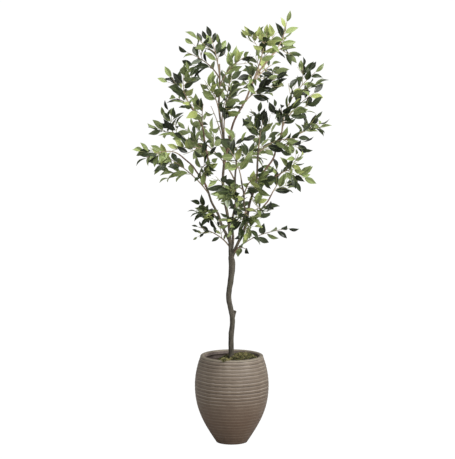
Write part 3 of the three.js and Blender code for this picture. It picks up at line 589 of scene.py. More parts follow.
def barkRise(spot):
    # furrows along the grain, soft lumps, and knots raised round a dimple
    t = trunk
    grain = Vector((spot.x / t["furrow"], spot.y / t["furrow"], spot.z / (t["furrow"] * t["furrowPull"])))
    furrow = max(0, 1 - abs(noise.noise(grain)) * t["furrowWidth"]) ** 2
    rise = noise.noise(spot / t["lump"][0]) * t["lump"][1] - t["furrowDepth"] * furrow
    spread, swell, dimple, narrow = t["knotShape"]
    for x, y, z, size in t["knots"]:
        away = (spot - Vector((x, y, z))).length / (size * spread)
        rise += size * swell * math.exp(-away * away) - size * dimple * math.exp(-(away * narrow) ** 2)
    return rise


def barkTrunk():
    # trunk, stub and the feet of the stems remeshed into one skin, then furrowed along the grain
    t = trunk
    low, high = Vector(t["stubFoot"]), Vector(t["stubTip"])
    stub = Path(quadratic(low, (low + high) / 2, high))
    crotch = lambda share: trunkRadius(share) * (1 - t["crotchTaper"] * rising(share, t["crotchFrom"]))
    tubes = [tube(wood["trunk"]["path"], crotch, t["sides"], t["step"]),
             tube(stub, lambda share: mix(*t["stubRadii"], share), t["sides"], t["stubStep"])]
    wide, slim, power = t["stemSwell"]
    for name, (parent, at, _, _, radii) in limbs.items():
        if parent == "trunk" or (parent == "stem_leader" and at < t["lowFork"]):
            limb = wood[name]["path"]
            until = t["stemFoot"] / limb.length
            foot = lambda share, r=radii[0], u=until: r * mix(wide, slim, min(1, share / u) ** power)
            tubes.append(tube(limb, foot, t["stemSides"], t["step"], until))
    piece = placed("barkTrunk", joinedTubes("barkTrunk", tubes))
    remesh = piece.modifiers.new("skin", "REMESH")
    remesh.mode, remesh.voxel_size = "VOXEL", t["voxel"] * mm
    soften = piece.modifiers.new("soften", "SMOOTH")
    soften.factor, soften.iterations = t["softening"]
    mesh = settled(piece).data
    mesh.update()
    normals = [v.normal.copy() for v in mesh.vertices]
    for v, normal in zip(mesh.vertices, normals):
        v.co += normal * barkRise(v.co / mm) * mm
    mesh.shade_smooth()
    mesh.materials.append(greyBark())
    return piece


finished(barkTrunk(), "bark", "trunk")


# Limbs and twigs follow lines that carry their girth and their age
def tubesTree(name, skins):
    # a tube round every line, with a little relief, and a skin for every age
    tree, given = newTree(name, Sides="Int", Relief="Float", Grain="Float")
    ring = addNode(tree, "GeometryNodeCurvePrimitiveCircle", {"Resolution": given["Sides"], "Radius": 1})
    line = addNode(tree, "GeometryNodeMeshToCurve", {"Mesh": given["Geometry"]})
    skin = addNode(tree, "GeometryNodeCurveToMesh", {
        "Curve": line.outputs[0], "Profile Curve": ring.outputs[0], "Scale": attributeOf(tree, "girth"),
        "Fill Caps": True}).outputs[0]
    place = addNode(tree, "GeometryNodeInputPosition").outputs[0]
    drawnOut = (1, 1, 0.3)  # bark longer upwards than across
    grain = addNode(tree, "ShaderNodeVectorMath", {0: place, 1: drawnOut}, operation="MULTIPLY")
    bark = addNode(tree, "ShaderNodeTexNoise", {
        "Vector": grain.outputs[0], "Scale": maths(tree, "DIVIDE", 1, given["Grain"]), "Detail": 2})
    rise = ranged(tree, bark.outputs["Fac"], 0.25, 0.75, -1, 1, clamp=False)
    rise = maths(tree, "MULTIPLY", rise, given["Relief"])
    normal = addNode(tree, "GeometryNodeInputNormal").outputs[0]
    offset = addNode(tree, "ShaderNodeVectorMath", {0: normal, "Scale": rise}, operation="SCALE")
    skin = through(tree, "SetPosition", skin, Offset=offset.outputs[0])
    skin = through(tree, "SetShadeSmooth", skin)
    skin = through(tree, "RealizeInstances", skin)
    addNode(tree, "NodeGroupOutput", {"Geometry": skinned(tree, skin, "age", skins)})
    return tree


def linesMesh(name, lines):
    # lines is a list of points, girths and age
    points, edges, girths, ages = [], [], [], []
    for spots, widths, age in lines:
        edges += [(len(points) + i, len(points) + i + 1) for i in range(len(spots) - 1)]
        points += [p * mm for p in spots]
        girths += [w * mm for w in widths]
        ages += [age] * len(spots)
    mesh = newMesh(name, points, [], edges)
    setAttribute(mesh, "girth", "FLOAT", girths)
    setAttribute(mesh, "age", "INT", ages)
    return mesh


def smoothBark(name, dark, pale, speck):
    # thin satin bark, faintly streaked along the limb, dotted with pale pores and paler on young wood above
    material, tree, shader, spot = newMaterial(name, {"Roughness": 0.62, "Specular IOR Level": 0.35})
    streaks = streaked(tree, spot, across=0.003, along=0.02, detail=3)
    pores = addNode(tree, "ShaderNodeTexVoronoi", {"Vector": spot, "Scale": 1 / 0.007}).outputs["Distance"]
    dots = ranged(tree, pores, 0.1, 0.2, 0.7, 0)
    youngWood = ranged(tree, heightOf(tree, spot), 1.6, 1.95, 0, 0.75)
    bark = blended(tree, dots, blended(tree, streaks, dark, pale), speck)
    coat(tree, shader, blended(tree, youngWood, bark, "#a8937c"), streaks, strength=0.3, depth=0.0008)
    return material


def limbLine(name, index):
    # a collar where the limb leaves its parent, and a faint swelling at every old leaf scar
    path, radiusAt = wood[name]["path"], wood[name]["radiusAt"]
    r = limbRule
    shares, spots = path.even(max(6, round(path.length / r["step"])))
    girths = []
    for share in shares:
        run = share * path.length
        collar = 1 + r["collar"] * math.exp(-run / (r["collarLength"] + radiusAt(0)))
        beat = math.cos(2 * math.pi * (run / r["nodeSpacing"] + r["swayPhase"] * index))
        node = 1 + r["nodeSwell"] * max(0, beat) ** r["nodeNarrow"]
        girths.append(radiusAt(share) * (collar if limbs[name][1] < 1 else 1) * node)
    return spots, girths, 0 if name.startswith("stem") else 1


stemBark = smoothBark("brownStemBark", "#3a3228", "#625747", "#857a6a")
boughBark = smoothBark("reddishBoughBark", "#4a352a", "#775e4d", "#a08a76")
limbMesh = linesMesh("barkLimbs", [limbLine(name, i) for i, name in enumerate(limbs)])
barkLimbs = grown("barkLimbs", limbMesh, tubesTree("limbBark", [stemBark, boughBark]), limbSkin)
finished(barkLimbs, "bough", *limbs)

# Sprays: where each stem leaves its limb, the point that it reaches, how many side twigs it has, and its
# leaves' tone, tilt and size
sprays = {
    "spray_leader_top": ("stem_leader", 0.93, (-100, 20, 2000), 2, "deep", 65, 1),
    "spray_leader_left": ("stem_leader", 0.92, (-216, 130, 1916), 2, "mixed", 25, 1),
    "spray_leader_right": ("stem_leader", 0.88, (58, -115, 1916), 3, "mixed", 15, 1),
    "spray_leader_front": ("stem_leader", 0.74, (-101, -170, 1762), 3, "light", 0, 1),
    "spray_leader_mid": ("stem_leader", 0.64, (-30, -210, 1718), 4, "deep", 0, 1),
    "spray_leader_inner": ("stem_leader", 0.53, (-101, -140, 1684), 5, "mixed", 10, 1),
    "spray_leader_back": ("stem_leader", 0.6, (-10, 270, 1760), 3, "dark", 30, 1),
    "spray_peak": ("bough_right_peak", 1, (267, 60, 2070), 0, "fresh", -60, 1),
    "spray_peak_left": ("bough_right_peak", 0.7, (168, -100, 2035), 4, "yellow", -35, 1),
    "spray_peak_right": ("bough_right_peak", 0.94, (272, 170, 1946), 3, "mixed", -10, 1),
    "spray_peak_low": ("bough_right_peak", 0.64, (195, 210, 1847), 3, "mixed", -35, 1),
    "spray_peak_front": ("bough_right_peak", 0.6, (82, -180, 1837), 2, "grey", 0, 1),
    "spray_peak_under": ("bough_right_peak", 0.5, (213, 40, 1796), 3, "deep", -10, 1),
    "spray_left_peak": ("bough_left_peak", 1, (-234, -90, 1826), 2, "dark", 25, 1),
    "spray_left_side": ("bough_left_peak", 0.9, (-272, 110, 1693), 1, "light", 40, 1),
    "spray_left_inner": ("bough_left_peak", 0.66, (-138, -125, 1692), 5, "deep", 10, 1),
    "spray_left_back": ("bough_left_back", 1, (-325, 190, 1589), 3, "dark", 60, 1),
    "spray_left_mid": ("bough_left_peak", 0.36, (-288, -70, 1459), 4, "dark", -10, 1),
    "spray_left_far": ("bough_left_far", 1, (-412, -150, 1434), 3, "fresh", 25, 1),
    "spray_left_low": ("stem_left", 0.8, (-340, -50, 1440), 3, "light", 20, 1),
    "spray_left_front": ("bough_left_far", 0.25, (-96, -240, 1424), 2, "dark", 10, 1),
    "spray_low_left": ("stem_left", 0.3, (-152, -115, 1204), 4, "deep", 20, 1),
    "spray_sprig_left": ("stem_leader", 0.035, (-164, 50, 1065), 2, "dark", 10, 0.55),
    "spray_right_high": ("bough_right_high", 1, (405, 50, 1826), 3, "dark", -45, 1),
    "spray_right_side": ("bough_right_high", 0.93, (400, 130, 1714), 1, "mixed", -30, 1),
    "spray_right_inner": ("bough_right_high", 0.85, (236, -160, 1675), 3, "deep", -55, 1),
    "spray_right_far": ("bough_right_far", 1, (422, 130, 1566), 3, "mixed", -25, 0.92),
    "spray_right_crown": ("stem_right", 1, (150, -140, 1612), 5, "deep", -15, 1),
    "spray_right_shelf": ("stem_right", 0.96, (318, -110, 1526), 3, "deep", 25, 1),
    "spray_right_mid": ("bough_right_mid", 1, (298, -170, 1378), 3, "fresh", 35, 1),
    "spray_right_low": ("bough_right_low", 1, (232, 90, 1282), 2, "dark", -35, 1),
    "spray_right_under": ("bough_right_low", 0.4, (105, -120, 1170), 5, "dark", 10, 1),
    "spray_low_right": ("bough_low_right", 1, (272, -130, 1084), 0, "deep", 60, 1),
    "spray_fork_front": ("bough_low_right", 0.4, (66, -84, 978), 0, "fresh", 0, 0.9),
    "spray_back_right": ("stem_back", 0.9, (194, 310, 1423), 3, "mixed", 20, 1),
    "spray_back_left": ("stem_back", 0.8, (-228, 240, 1525), 3, "fresh", 20, 1),
    "spray_back_top": ("stem_back", 1, (41, 320, 1395), 3, "dark", 20, 1),
    "spray_back_low": ("stem_back", 0.5, (36, 225, 1160), 4, "mixed", 20, 1),
    "spray_front_top": ("stem_front", 1, (-15, -290, 1498), 3, "dark", 10, 1),
    "spray_front_left": ("stem_front", 0.85, (-48, -290, 1290), 4, "mixed", -20, 1),
    "spray_front_right": ("stem_front", 0.75, (125, -290, 1382), 3, "fresh", 10, 1),
    "spray_front_low": ("stem_front", 0.4, (46, -200, 1104), 5, "mixed", 10, 1),
}
growth = {
    "spread": 150, "margin": 4, "limbMargin": 5, "leafGap": 6, "twigGap": 4, "tries": 4, "retryTurn": 45,
    "stemPull": 0.42, "stemPieces": 6, "stemFoot": (0.96, 1.3), "stemRadii": (3.2, 1.5), "leafyStem": 170,
    "twigLength": (70, 105), "twigAngle": 44, "twigLift": 0.12, "twigSway": 35, "twigTilt": 30,
    "twigRadii": (1.8, 1.1), "firstTwig": 0.3, "lastTwig": 0.85, "twigSpots": (0.4, 0.7, 1), "twigPieces": 12,
    "twigStep": 9, "twigTaper": 0.8, "bareFoot": 0.3, "linePoints": 9, "lineFoot": 2, "woodStep": 20,
    "twigletFeet": (0.35, 0.65), "twigletLength": (30, 50), "twigletLeaf": 0.8, "twigletRadii": (1.2, 0.8),
    "twigletSpots": (0.5, 1), "internode": 26, "leafAngles": (58, 38), "angleSway": 10, "turnSway": 28,
    "tipAngles": (2, 14), "leafLength": (72, 96), "tipLeaf": 0.8, "faceForward": 0.4, "roll": 34,
    "facing": {"up": 0.35, "out": 0.8, "front": 90, "aside": 0.4}, "leafKinds": 4, "halfWidth": 0.22,
    "leafSpots": ((0.25, 0), (0.5, 0), (0.75, 0), (1, 0), (0.35, -0.9), (0.35, 0.9), (0.6, -0.9), (0.6, 0.9)),
}
twigSkin = {"Sides": 6, "Relief": 0.12 * mm, "Grain": 3 * mm}


def sprayStem(limbName, at, reach):
    limb = wood[limbName]["path"]
    start, way = limb.pointAt(at), limb.tangent(at)
    if at == 1:
        start = start + way * limbRule["clearance"]
    else:
        way = (way + (reach - start).normalized()).normalized()
    return Path(quadratic(start, start + way * (growth["stemPull"] * (reach - start).length), reach))


stems = [sprayStem(limb, at, Vector(reach)) for limb, at, reach, *_ in sprays.values()]
pieces = growth["stemPieces"]
stemLine = np.array([[path.pointAt(i / pieces) for i in range(pieces + 1)] for path in stems])
woodPaths = [limb["path"] for limb in wood.values()]
woodLine = [np.array(path.even(max(4, round(path.length / growth["woodStep"])))[1]) for path in woodPaths]
woodStarts = np.concatenate([line[:-1] for line in woodLine])
woodEnds = np.concatenate([line[1:] for line in woodLine])
woodRadii = np.concatenate([[limb["radiusAt"](i / (len(line) - 1)) for i in range(len(line) - 1)]
                            for limb, line in zip(wood.values(), woodLine)])


def gaps(points, starts, ends):
    # distance of every point to every straight piece
    along = ends - starts
    offset = points[:, None] - starts
    share = np.clip((offset * along).sum(-1) / (along ** 2).sum(-1), 0, 1)
    return np.linalg.norm(offset - share[..., None] * along, axis=-1)


def hasRoom(points, index):
    # clear of the limbs, near the spray's own stem and further from every other stem
    points = np.array(points)
    toStems = gaps(points, stemLine[:, :-1].reshape(-1, 3), stemLine[:, 1:].reshape(-1, 3))
    toStems = toStems.reshape(len(points), len(stems), -1).min(-1)
    own = toStems[:, index] + growth["margin"]
    toStems[:, index] = np.inf
    toWood = (gaps(points, woodStarts, woodEnds) - woodRadii).min(-1)
    near = own < growth["spread"]
    return bool((near & (own < toStems.min(-1)) & (toWood > growth["limbMargin"])).all())


def leaning(axis, side, lean, turn):
    away = (side - axis * side.dot(axis)).normalized()
    away.rotate(Matrix.Rotation(turn, 3, axis))
    return axis * math.cos(lean) + away * math.sin(lean)


def facingAt(spot):
    # leaves look outwards from the tree and a little up
    f = growth["facing"]
    outwards = Vector((f["aside"] * spot.x, spot.y - f["front"], 0)).normalized()
    return upwards * f["up"] + outwards * f["out"]


def makeTwig(path, bareFoot, radii, age, tilt):
    # leaves stand in two ranks to the sides of a shoot, in a plane tilted from the way that it faces
    chord = (path.pointAt(1) - path.pointAt(0)).normalized()
    side = chord.cross(facingAt(path.pointAt(0.5))).normalized()
    side.rotate(Matrix.Rotation(math.radians(tilt), 3, chord))
    return {"path": path, "side": side, "bareFoot": bareFoot, "radii": radii, "age": age, "leaf": 1}


def sideTwig(parent, share, turn, length, radii, tilt):
    g, start = growth, parent["path"].pointAt(share)
    angle = math.radians(g["twigAngle"])
    way = leaning(parent["path"].tangent(share), parent["side"], angle, math.radians(turn))
    tip = start + way * length + upwards * (g["twigLift"] * length)
    path = Path(quadratic(start, start + way * (length / 2), tip), g["twigPieces"])
    return makeTwig(path, g["bareFoot"], radii, 1, tilt)


def growTwigs(index, count, tilt):
    # the stem, its side twigs to left and right by turns, and finer twiglets on those by the same rule
    g, path = growth, stems[index]
    bareFoot = max(g["bareFoot"], 1 - g["leafyStem"] / path.length)
    stem = makeTwig(path, bareFoot, g["stemRadii"], 0, tilt)
    twigs, twiglets = [], []
    for i in range(count):
        share = mix(bareFoot, g["lastTwig"], (i + g["firstTwig"]) / count)
        turn = 180 * ((i + index) % 2) + chance(-g["twigSway"], g["twigSway"], index, i, 1)
        lean = tilt + chance(-g["twigTilt"], g["twigTilt"], index, i, 2)
        twig = sideTwig(stem, share, turn, chance(*g["twigLength"], index, i), g["twigRadii"], lean)
        if not hasRoom([twig["path"].pointAt(t) for t in g["twigSpots"]], index):
            continue
        twigs.append(twig)
        for hand, foot in enumerate(g["twigletFeet"]):
            turn = 180 * hand + chance(-g["twigSway"], g["twigSway"], index, i, hand, 5)
            length = chance(*g["twigletLength"], index, i, hand, 6)
            fine = sideTwig(twig, foot, turn, length, g["twigletRadii"], lean)
            fine["leaf"] = g["twigletLeaf"]
            if hasRoom([fine["path"].pointAt(t) for t in g["twigletSpots"]], index):
                twiglets.append(fine)
    return [stem] + twigs + twiglets


def leafAt(twig, order, count, size, *keys):
    # root, way, upper face and length of one leaf
    g, isTip = growth, order == count
    share = 1 if isTip else mix(twig["bareFoot"], 1, order / count)
    axis, root = twig["path"].tangent(share), twig["path"].pointAt(share)
    lean = mix(*g["leafAngles"], order / count) + chance(-g["angleSway"], g["angleSway"], *keys, 1)
    if isTip:
        lean = chance(*g["tipAngles"], *keys, 1)
    stray = chance(-g["turnSway"], g["turnSway"], *keys, 2) + keys[-1] * g["retryTurn"]
    turn = 180 * ((order + keys[1]) % 2) + stray
    along = leaning(axis, twig["side"], math.radians(lean), math.radians(turn))
    face = twig["side"].cross(axis) + axis * g["faceForward"]
    face = (face - along * face.dot(along)).normalized()
    face.rotate(Matrix.Rotation(math.radians(chance(-g["roll"], g["roll"], *keys, 3)), 3, along))
    length = chance(*g["leafLength"], *keys, 4) * mix(1, g["tipLeaf"], order / count) * twig["leaf"] * size
    return {"root": root, "along": along, "face": face, "length": length}


def leafSpots(leaf):
    # points on the blade that are kept clear of other blades
    along, length = leaf["along"], leaf["length"]
    across = along.cross(leaf["face"]) * (growth["halfWidth"] * length)
    return np.array([leaf["root"] + along * (s * length) + across * k for s, k in growth["leafSpots"]])


def crowded(spots, others, gap):
    return len(others) and np.linalg.norm(spots[:, None] - others, axis=-1).min() < gap


def leafWithRoom(twig, order, total, size, index, number, taken, others):
    # the first of a few tries that is clear of the limbs, the leaves so far and the other twigs
    for attempt in range(growth["tries"]):
        leaf = leafAt(twig, order, total, size, index, number, order, attempt)
        spots = leafSpots(leaf)
        if not hasRoom(spots, index) or crowded(spots, taken, growth["leafGap"]):
            continue
        if not crowded(spots, others, growth["twigGap"]):
            return leaf
    return None


# Leaf colours, the darkest first, and how often each comes in a spray of a tone
leafColours = {
    "deepGreen": "#1c2114", "darkGreen": "#333c24", "midGreen": "#667144", "freshGreen": "#84925b",
    "yellowGreen": "#929b5c", "greyGreen": "#8a937f",
}
tones = {
    "deep": (0.36, 0.34, 0.2, 0.08, 0.02, 0), "dark": (0.22, 0.34, 0.26, 0.13, 0.05, 0),
    "mixed": (0.16, 0.26, 0.26, 0.18, 0.11, 0.03), "fresh": (0.08, 0.2, 0.3, 0.27, 0.15, 0),
    "light": (0.04, 0.14, 0.24, 0.3, 0.28, 0), "yellow": (0, 0.1, 0.16, 0.34, 0.4, 0),
    "grey": (0.08, 0.22, 0.26, 0.12, 0.04, 0.28),
}


def growSprays():
    g, none = growth, np.zeros((0, 3))
    twigLines, leaves, taken = [], [], none
    for index, (limb, at, _, count, tone, tilt, size) in enumerate(sprays.values()):
        twigs = growTwigs(index, count, tilt)
        lines = [np.array(twig["path"].even(g["linePoints"])[1])[g["lineFoot"]:] for twig in twigs]
        for number, twig in enumerate(twigs):
            path, (foot, tip) = twig["path"], twig["radii"]
            others = np.concatenate([none] + lines[:number] + lines[number + 1:])
            total = round(path.length * (1 - twig["bareFoot"]) / g["internode"])
            total = max(1 if twig["leaf"] < 1 else 2, total)
            for order in range(total + 1):
                leaf = leafWithRoom(twig, order, total, size, index, number, taken, others)
                if not leaf:
                    continue
                taken = np.concatenate([taken, leafSpots(leaf)])
                pick = np.searchsorted(np.cumsum(tones[tone]), chance(0, 1, index, number, order, 7))
                leaf["tone"] = min(int(pick), len(leafColours) - 1)
                leaf["form"] = int(chance(0, g["leafKinds"], index, number, order, 8))
                leaves.append(leaf)
            shares, spots = path.even(max(5, round(path.length / g["twigStep"])))
            if number == 0:
                within, swell = g["stemFoot"]
                foot = min(wood[limb]["radiusAt"](at) * within, foot * swell)
            twigLines.append((spots, [mix(foot, tip, s ** g["twigTaper"]) for s in shares], twig["age"]))
    return twigLines, leaves


twigLines, leaves = growSprays()
print(len(twigLines), "twigs and", len(leaves), "leaves grown")

twigBark = smoothBark("tanTwigBark", "#6b5a48", "#9c8a72", "#c0b29c")
greenTwig = smoothBark("greenTwigBark", "#6a6a3e", "#93925e", "#b4b083")
twigMesh = linesMesh("barkTwigs", twigLines)
barkTwigs = grown("barkTwigs", twigMesh, tubesTree("twigBark", [twigBark, greenTwig]), twigSkin)
finished(barkTwigs, "leaf", *sprays)

# Leaves: a folded, arched blade of unit length along +Y, its face to +Z, with a sunk midrib and a short stalk
leafShape = {
    "stations": (0.13, 0.22, 0.36, 0.52, 0.68, 0.83, 0.94), "widest": 0.46, "fullness": (0.75, 1.15),
    "rib": 0.013, "ribTaper": 1.1, "thickness": 0.011, "keelTaper": 1.2, "droop": (0.85, 0.9), "dome": 0.02,
    "ripples": 9, "rippleShift": 1.3, "stalk": 0.09, "stalkRadius": 0.014, "stalkDrop": 0.008,
    "stalkRings": ((-0.02, 0, 1.2), (0.05, 0.002, 1), (0.14, 0.004, 0.7)), "sharpEdge": 70, "gloss": 0.34,
}
leafForms = (  # width, fold, arch, ripple and sideways bend as shares of the length
    {"width": 0.39, "fold": 0.4, "arch": 0.05, "ripple": 0.012, "bend": 0.0},
    {"width": 0.35, "fold": 0.52, "arch": 0.09, "ripple": 0.008, "bend": 0.03},
    {"width": 0.41, "fold": 0.3, "arch": 0.03, "ripple": 0.016, "bend": -0.02},
    {"width": 0.37, "fold": 0.46, "arch": 0.12, "ripple": 0.01, "bend": -0.035},
)


def leafMesh(name, form):
    # parts: 0 the blade, 1 the midrib, 2 the underside, 3 the stalk
    shape, start = leafShape, leafShape["stalk"]
    peak = math.log(0.5) / math.log(shape["widest"])
    arched, drop = shape["droop"]

    def middle(s):
        u = (s - start) / (1 - start)
        arch = math.sin(math.pi * u * arched) - drop * u * u
        return form["bend"] * math.sin(math.pi * u), form["arch"] * arch

    def halfWidth(s):
        u = (s - start) / (1 - start)
        return form["width"] / 2 * math.sin(math.pi * u ** peak) ** mix(*shape["fullness"], u)

    points, faces = [(0, start, 0)], []
    for s in shape["stations"]:
        aside, rise = middle(s)
        w, rib = halfWidth(s), shape["rib"] * (shape["ribTaper"] - s)
        for q, x in ((-1, -w), (-0.5, -w * 0.5), (0, -rib), (0, rib), (0.5, w * 0.5), (1, w)):
            shift = shape["rippleShift"] if q > 0 else 0
            wave = form["ripple"] * math.sin(shape["ripples"] * s + shift) * q * q
            dome = shape["dome"] if abs(q) == 0.5 else 0
            points.append((aside + x, s, rise + form["fold"] * abs(x) + dome + wave))
        points.append((aside, s, rise - shape["thickness"] * (shape["keelTaper"] - s)))
    tip, last, ring = len(points), len(shape["stations"]) - 1, 7  # six points above and one below
    aside, rise = middle(1)
    points.append((aside, 1, rise))
    for i in range(last + 1):
        at = 1 + ring * i
        upper, under = list(range(at, at + 6)), [at + 5, at + 6, at]
        pairs = [*zip(upper, upper[1:]), *zip(under, under[1:])]
        if i == 0:
            faces += [(0, b, a) for a, b in pairs]
        faces += [(tip, a, b) if i == last else (a, b, b + ring, a + ring) for a, b in pairs]
    parts = [0, 0, 1, 0, 0, 2, 2] * (last + 2)
    stalk, quarters = len(points), ((1, 0), (0, 1), (-1, 0), (0, -1))
    for y, z, share in shape["stalkRings"]:
        r = share * shape["stalkRadius"]
        points += [(x * r, y, z - shape["stalkDrop"] + up * r) for x, up in quarters]
    for at in (stalk, stalk + 4):
        faces += [(at + j, at + n, at + 4 + n, at + 4 + j) for j, n in enumerate((1, 2, 3, 0))]
    faces += [tuple(stalk + j for j in (3, 2, 1, 0)), tuple(stalk + 8 + j for j in range(4))]
    parts += [3] * (len(faces) - len(parts))
    mesh = newMesh(name, points, faces)
    setAttribute(mesh, "leafPart", "INT", parts, "FACE")
    mesh.shade_smooth()
    mesh.set_sharp_from_angle(angle=math.radians(shape["sharpEdge"]))
    return mesh


def leafFinish(name, colour, roughness):
    # leathery leaf with a thin wax skin: a plain colour, dealt out leaf by leaf, under a satin gloss
    material, tree, shader, spot = newMaterial(name, {
        "Base Color": linearColour(colour), "IOR": 1.45, "Specular IOR Level": 0.32})
    wax = cloudy(tree, spot, size=0.012, detail=2)
    gloss = ranged(tree, wax, 0.3, 0.7, roughness - 0.07, roughness + 0.09)
    tree.links.new(gloss, shader.inputs["Roughness"])
    relief(tree, shader, wax, strength=0.15, depth=0.0015)
    return material


otherParts = (  # name, part of the leaf, range of tones, colour and roughness
    ("darkRib", 1, (0, 1), "#56623c", 0.5), ("paleRib", 1, (2, 5), "#9aa369", 0.5),
    ("darkUnderside", 2, (0, 1), "#4c5638", 0.62), ("paleUnderside", 2, (2, 5), "#808b5e", 0.62),
    ("leafStalk", 3, (0, 5), "#84824e", 0.5),
)


def leavesTree():
    # a leaf of its form on every point, turned and sized as it grew, with finishes by part and tone
    tree, given = newTree("leafSprays")
    forms = [leafMesh("leafForm%d" % number, form) for number, form in enumerate(leafForms)]
    points = addNode(tree, "GeometryNodeMeshToPoints", {"Mesh": given["Geometry"]}).outputs[0]
    crown = strewn(tree, "leafForms", forms, points, attributeOf(tree, "leafForm", "INT"),
                   attributeOf(tree, "leafTurn", "QUATERNION"), attributeOf(tree, "leafSize"))
    greens = [leafFinish(name, colour, leafShape["gloss"]) for name, colour in leafColours.items()]
    crown = skinned(tree, crown, "leafTone", greens)
    for name, part, toneRange, colour, roughness in otherParts:
        both = {0: among(tree, "leafPart", part, part), 1: among(tree, "leafTone", *toneRange)}
        chosen = addNode(tree, "FunctionNodeBooleanMath", both).outputs[0]
        finish = leafFinish(name, colour, roughness)
        crown = through(tree, "SetMaterial", crown, Selection=chosen, Material=finish)
    addNode(tree, "NodeGroupOutput", {"Geometry": crown})
    return tree


def leafPoints():
    mesh = newMesh("laurelLeaves", [leaf["root"] * mm for leaf in leaves], [])
    turns = []
    for leaf in leaves:
        across = leaf["along"].cross(leaf["face"])
        turns.append(Matrix((across, leaf["along"], leaf["face"])).transposed().to_quaternion())
    setAttribute(mesh, "leafTurn", "QUATERNION", [tuple(q) for q in turns])
    setAttribute(mesh, "leafSize", "FLOAT", [leaf["length"] * mm for leaf in leaves])
    for name, key in (("leafForm", "form"), ("leafTone", "tone")):
        setAttribute(mesh, name, "INT", [leaf[key] for leaf in leaves])
    return mesh


laurelLeaves = grown("laurelLeaves", leafPoints(), leavesTree(), {})
finished(laurelLeaves, "leaf", *sprays)

# Moss: a lumpy mound, higher to the right and the back, covered in short curled tufts
moss = {"centre": (30, 8), "radius": 102, "height": 37, "lump": 0.25, "lean": 0.2, "rings": 34, "sides": 96,
        "clump": 19, "clumpRise": 9, "fineClump": (0.5, 2.1), "ripple": (0.07, 0.08), "brim": 0.16,
        "edge": (0.96, 1), "foot": soilHeight - 4, "density": 52000, "tuftScale": (0.7, 1.35),
        "wisp": {"centre": (-34, -132), "radius": 20, "foot": 431, "height": 10, "rings": 8, "sides": 24}}
tuft = {"blades": 5, "turn": 137.5, "tall": (5, 9), "reach": (2.5, 6), "widths": ((0, 1), (0.55, 0.8)),
        "depth": 0.8, "droop": 0.82, "sunk": 1, "spin": ((-0.5, -0.5, 0), (0.5, 0.5, 6.28)),
        "seeds": (7, 4, 5), "patch": 0.024, "patchRange": (0.37, 0.65), "paleOnTop": (0.4, 0.44, -0.1, 0.13)}


def mossRise(x, y):
    m = moss
    away = min(1, math.hypot(x, y) / m["radius"])
    mound = m["height"] * mix(m["brim"], 1, math.sqrt(1 - away * away))
    ripple = math.sin(x * m["ripple"][0] + 1) * math.cos(y * m["ripple"][1]) * away
    rise = mound * (1 + m["lump"] * ripple + m["lean"] * (x + y) / m["radius"])
    clumps = lumps(x, y, m["clump"], (5, 11), m["fineClump"])
    return m["foot"] + rise + m["clumpRise"] * clumps * (1 - away ** 4)


def mossFinish(name, dark, pale):
    # dried sheet moss: dull fibres, olive to yellow-green
    material, tree, shader, spot = newMaterial(name, {
        "Roughness": 0.95, "Specular IOR Level": 0.15, "Sheen Weight": 0.15})
    fibres = cloudy(tree, spot, size=0.004, detail=3)
    tree.links.new(blended(tree, fibres, dark, pale), shader.inputs["Base Color"])
    return material


def mossTuft(name):
    # a few three-sided blades that curl outwards
    points, faces = [], []
    for k in range(tuft["blades"]):
        turn = math.radians(k * tuft["turn"])
        out = Vector((math.cos(turn), math.sin(turn), 0))
        across = upwards.cross(out)
        tall, reach = chance(*tuft["tall"], k, 3), chance(*tuft["reach"], k, 4)
        at = len(points)
        for s, width in tuft["widths"]:
            spot = out * (reach * s * s) + upwards * (tall * s - tuft["sunk"])
            points += [spot + across * width, spot - across * width, spot + out * width * tuft["depth"]]
        points.append(out * reach + upwards * (tall * tuft["droop"] - tuft["sunk"]))
        faces += [(at, at + 1, at + 2)]
        for a, b in ((0, 2), (2, 1), (1, 0)):
            faces += [(at + a, at + b, at + b + 3, at + a + 3), (at + a + 3, at + b + 3, at + 6)]
    return newMesh(name, [p * mm for p in points], faces)


def mossTree(finishes):
    # tufts strewn on the mound with a fixed seed, each with its own turn, size and finish
    tree, given = newTree("mossTufts", Density="Float", Least="Float", Most="Float")
    placeSeed, turnSeed, sizeSeed = tuft["seeds"]
    spots = addNode(tree, "GeometryNodeDistributePointsOnFaces", {
        "Mesh": given["Geometry"], "Density": given["Density"], "Seed": placeSeed},
        distribute_method="RANDOM").outputs
    place = addNode(tree, "GeometryNodeInputPosition").outputs[0]
    lift = ranged(tree, heightOf(tree, place), *tuft["paleOnTop"])
    patch = maths(tree, "ADD", cloudy(tree, place, size=tuft["patch"], detail=2, roughness=0.7), lift)
    patch = ranged(tree, patch, *tuft["patchRange"], 0, len(finishes) - 0.1)
    kind = maths(tree, "FLOOR", patch)  # one finish to a clump
    least, most = tuft["spin"]
    spin = addNode(tree, "FunctionNodeRandomValue", {
        0: least, 1: most, "Seed": turnSeed}, data_type="FLOAT_VECTOR")
    turn = addNode(tree, "FunctionNodeEulerToRotation", {0: spin.outputs[0]})
    stand = addNode(tree, "FunctionNodeRotateRotation", {
        0: spots["Rotation"], 1: turn.outputs[0]}, rotation_space="LOCAL")
    size = addNode(tree, "FunctionNodeRandomValue", {
        2: given["Least"], 3: given["Most"], "Seed": sizeSeed}, data_type="FLOAT")
    points = through(tree, "StoreNamedAttribute", spots["Points"], Name="tuftKind", Value=kind)
    spread = strewn(tree, "mossTufts", [mossTuft("mossTuft")], points, 0, stand.outputs[0], size.outputs[1])
    addNode(tree, "NodeGroupOutput", {"Geometry": skinned(tree, spread, "tuftKind", finishes)})
    return tree


def wispRise(x, y):
    w = moss["wisp"]
    away = min(1, math.hypot(x, y) / w["radius"])
    return w["foot"] + w["height"] * math.sqrt(1 - away * away)


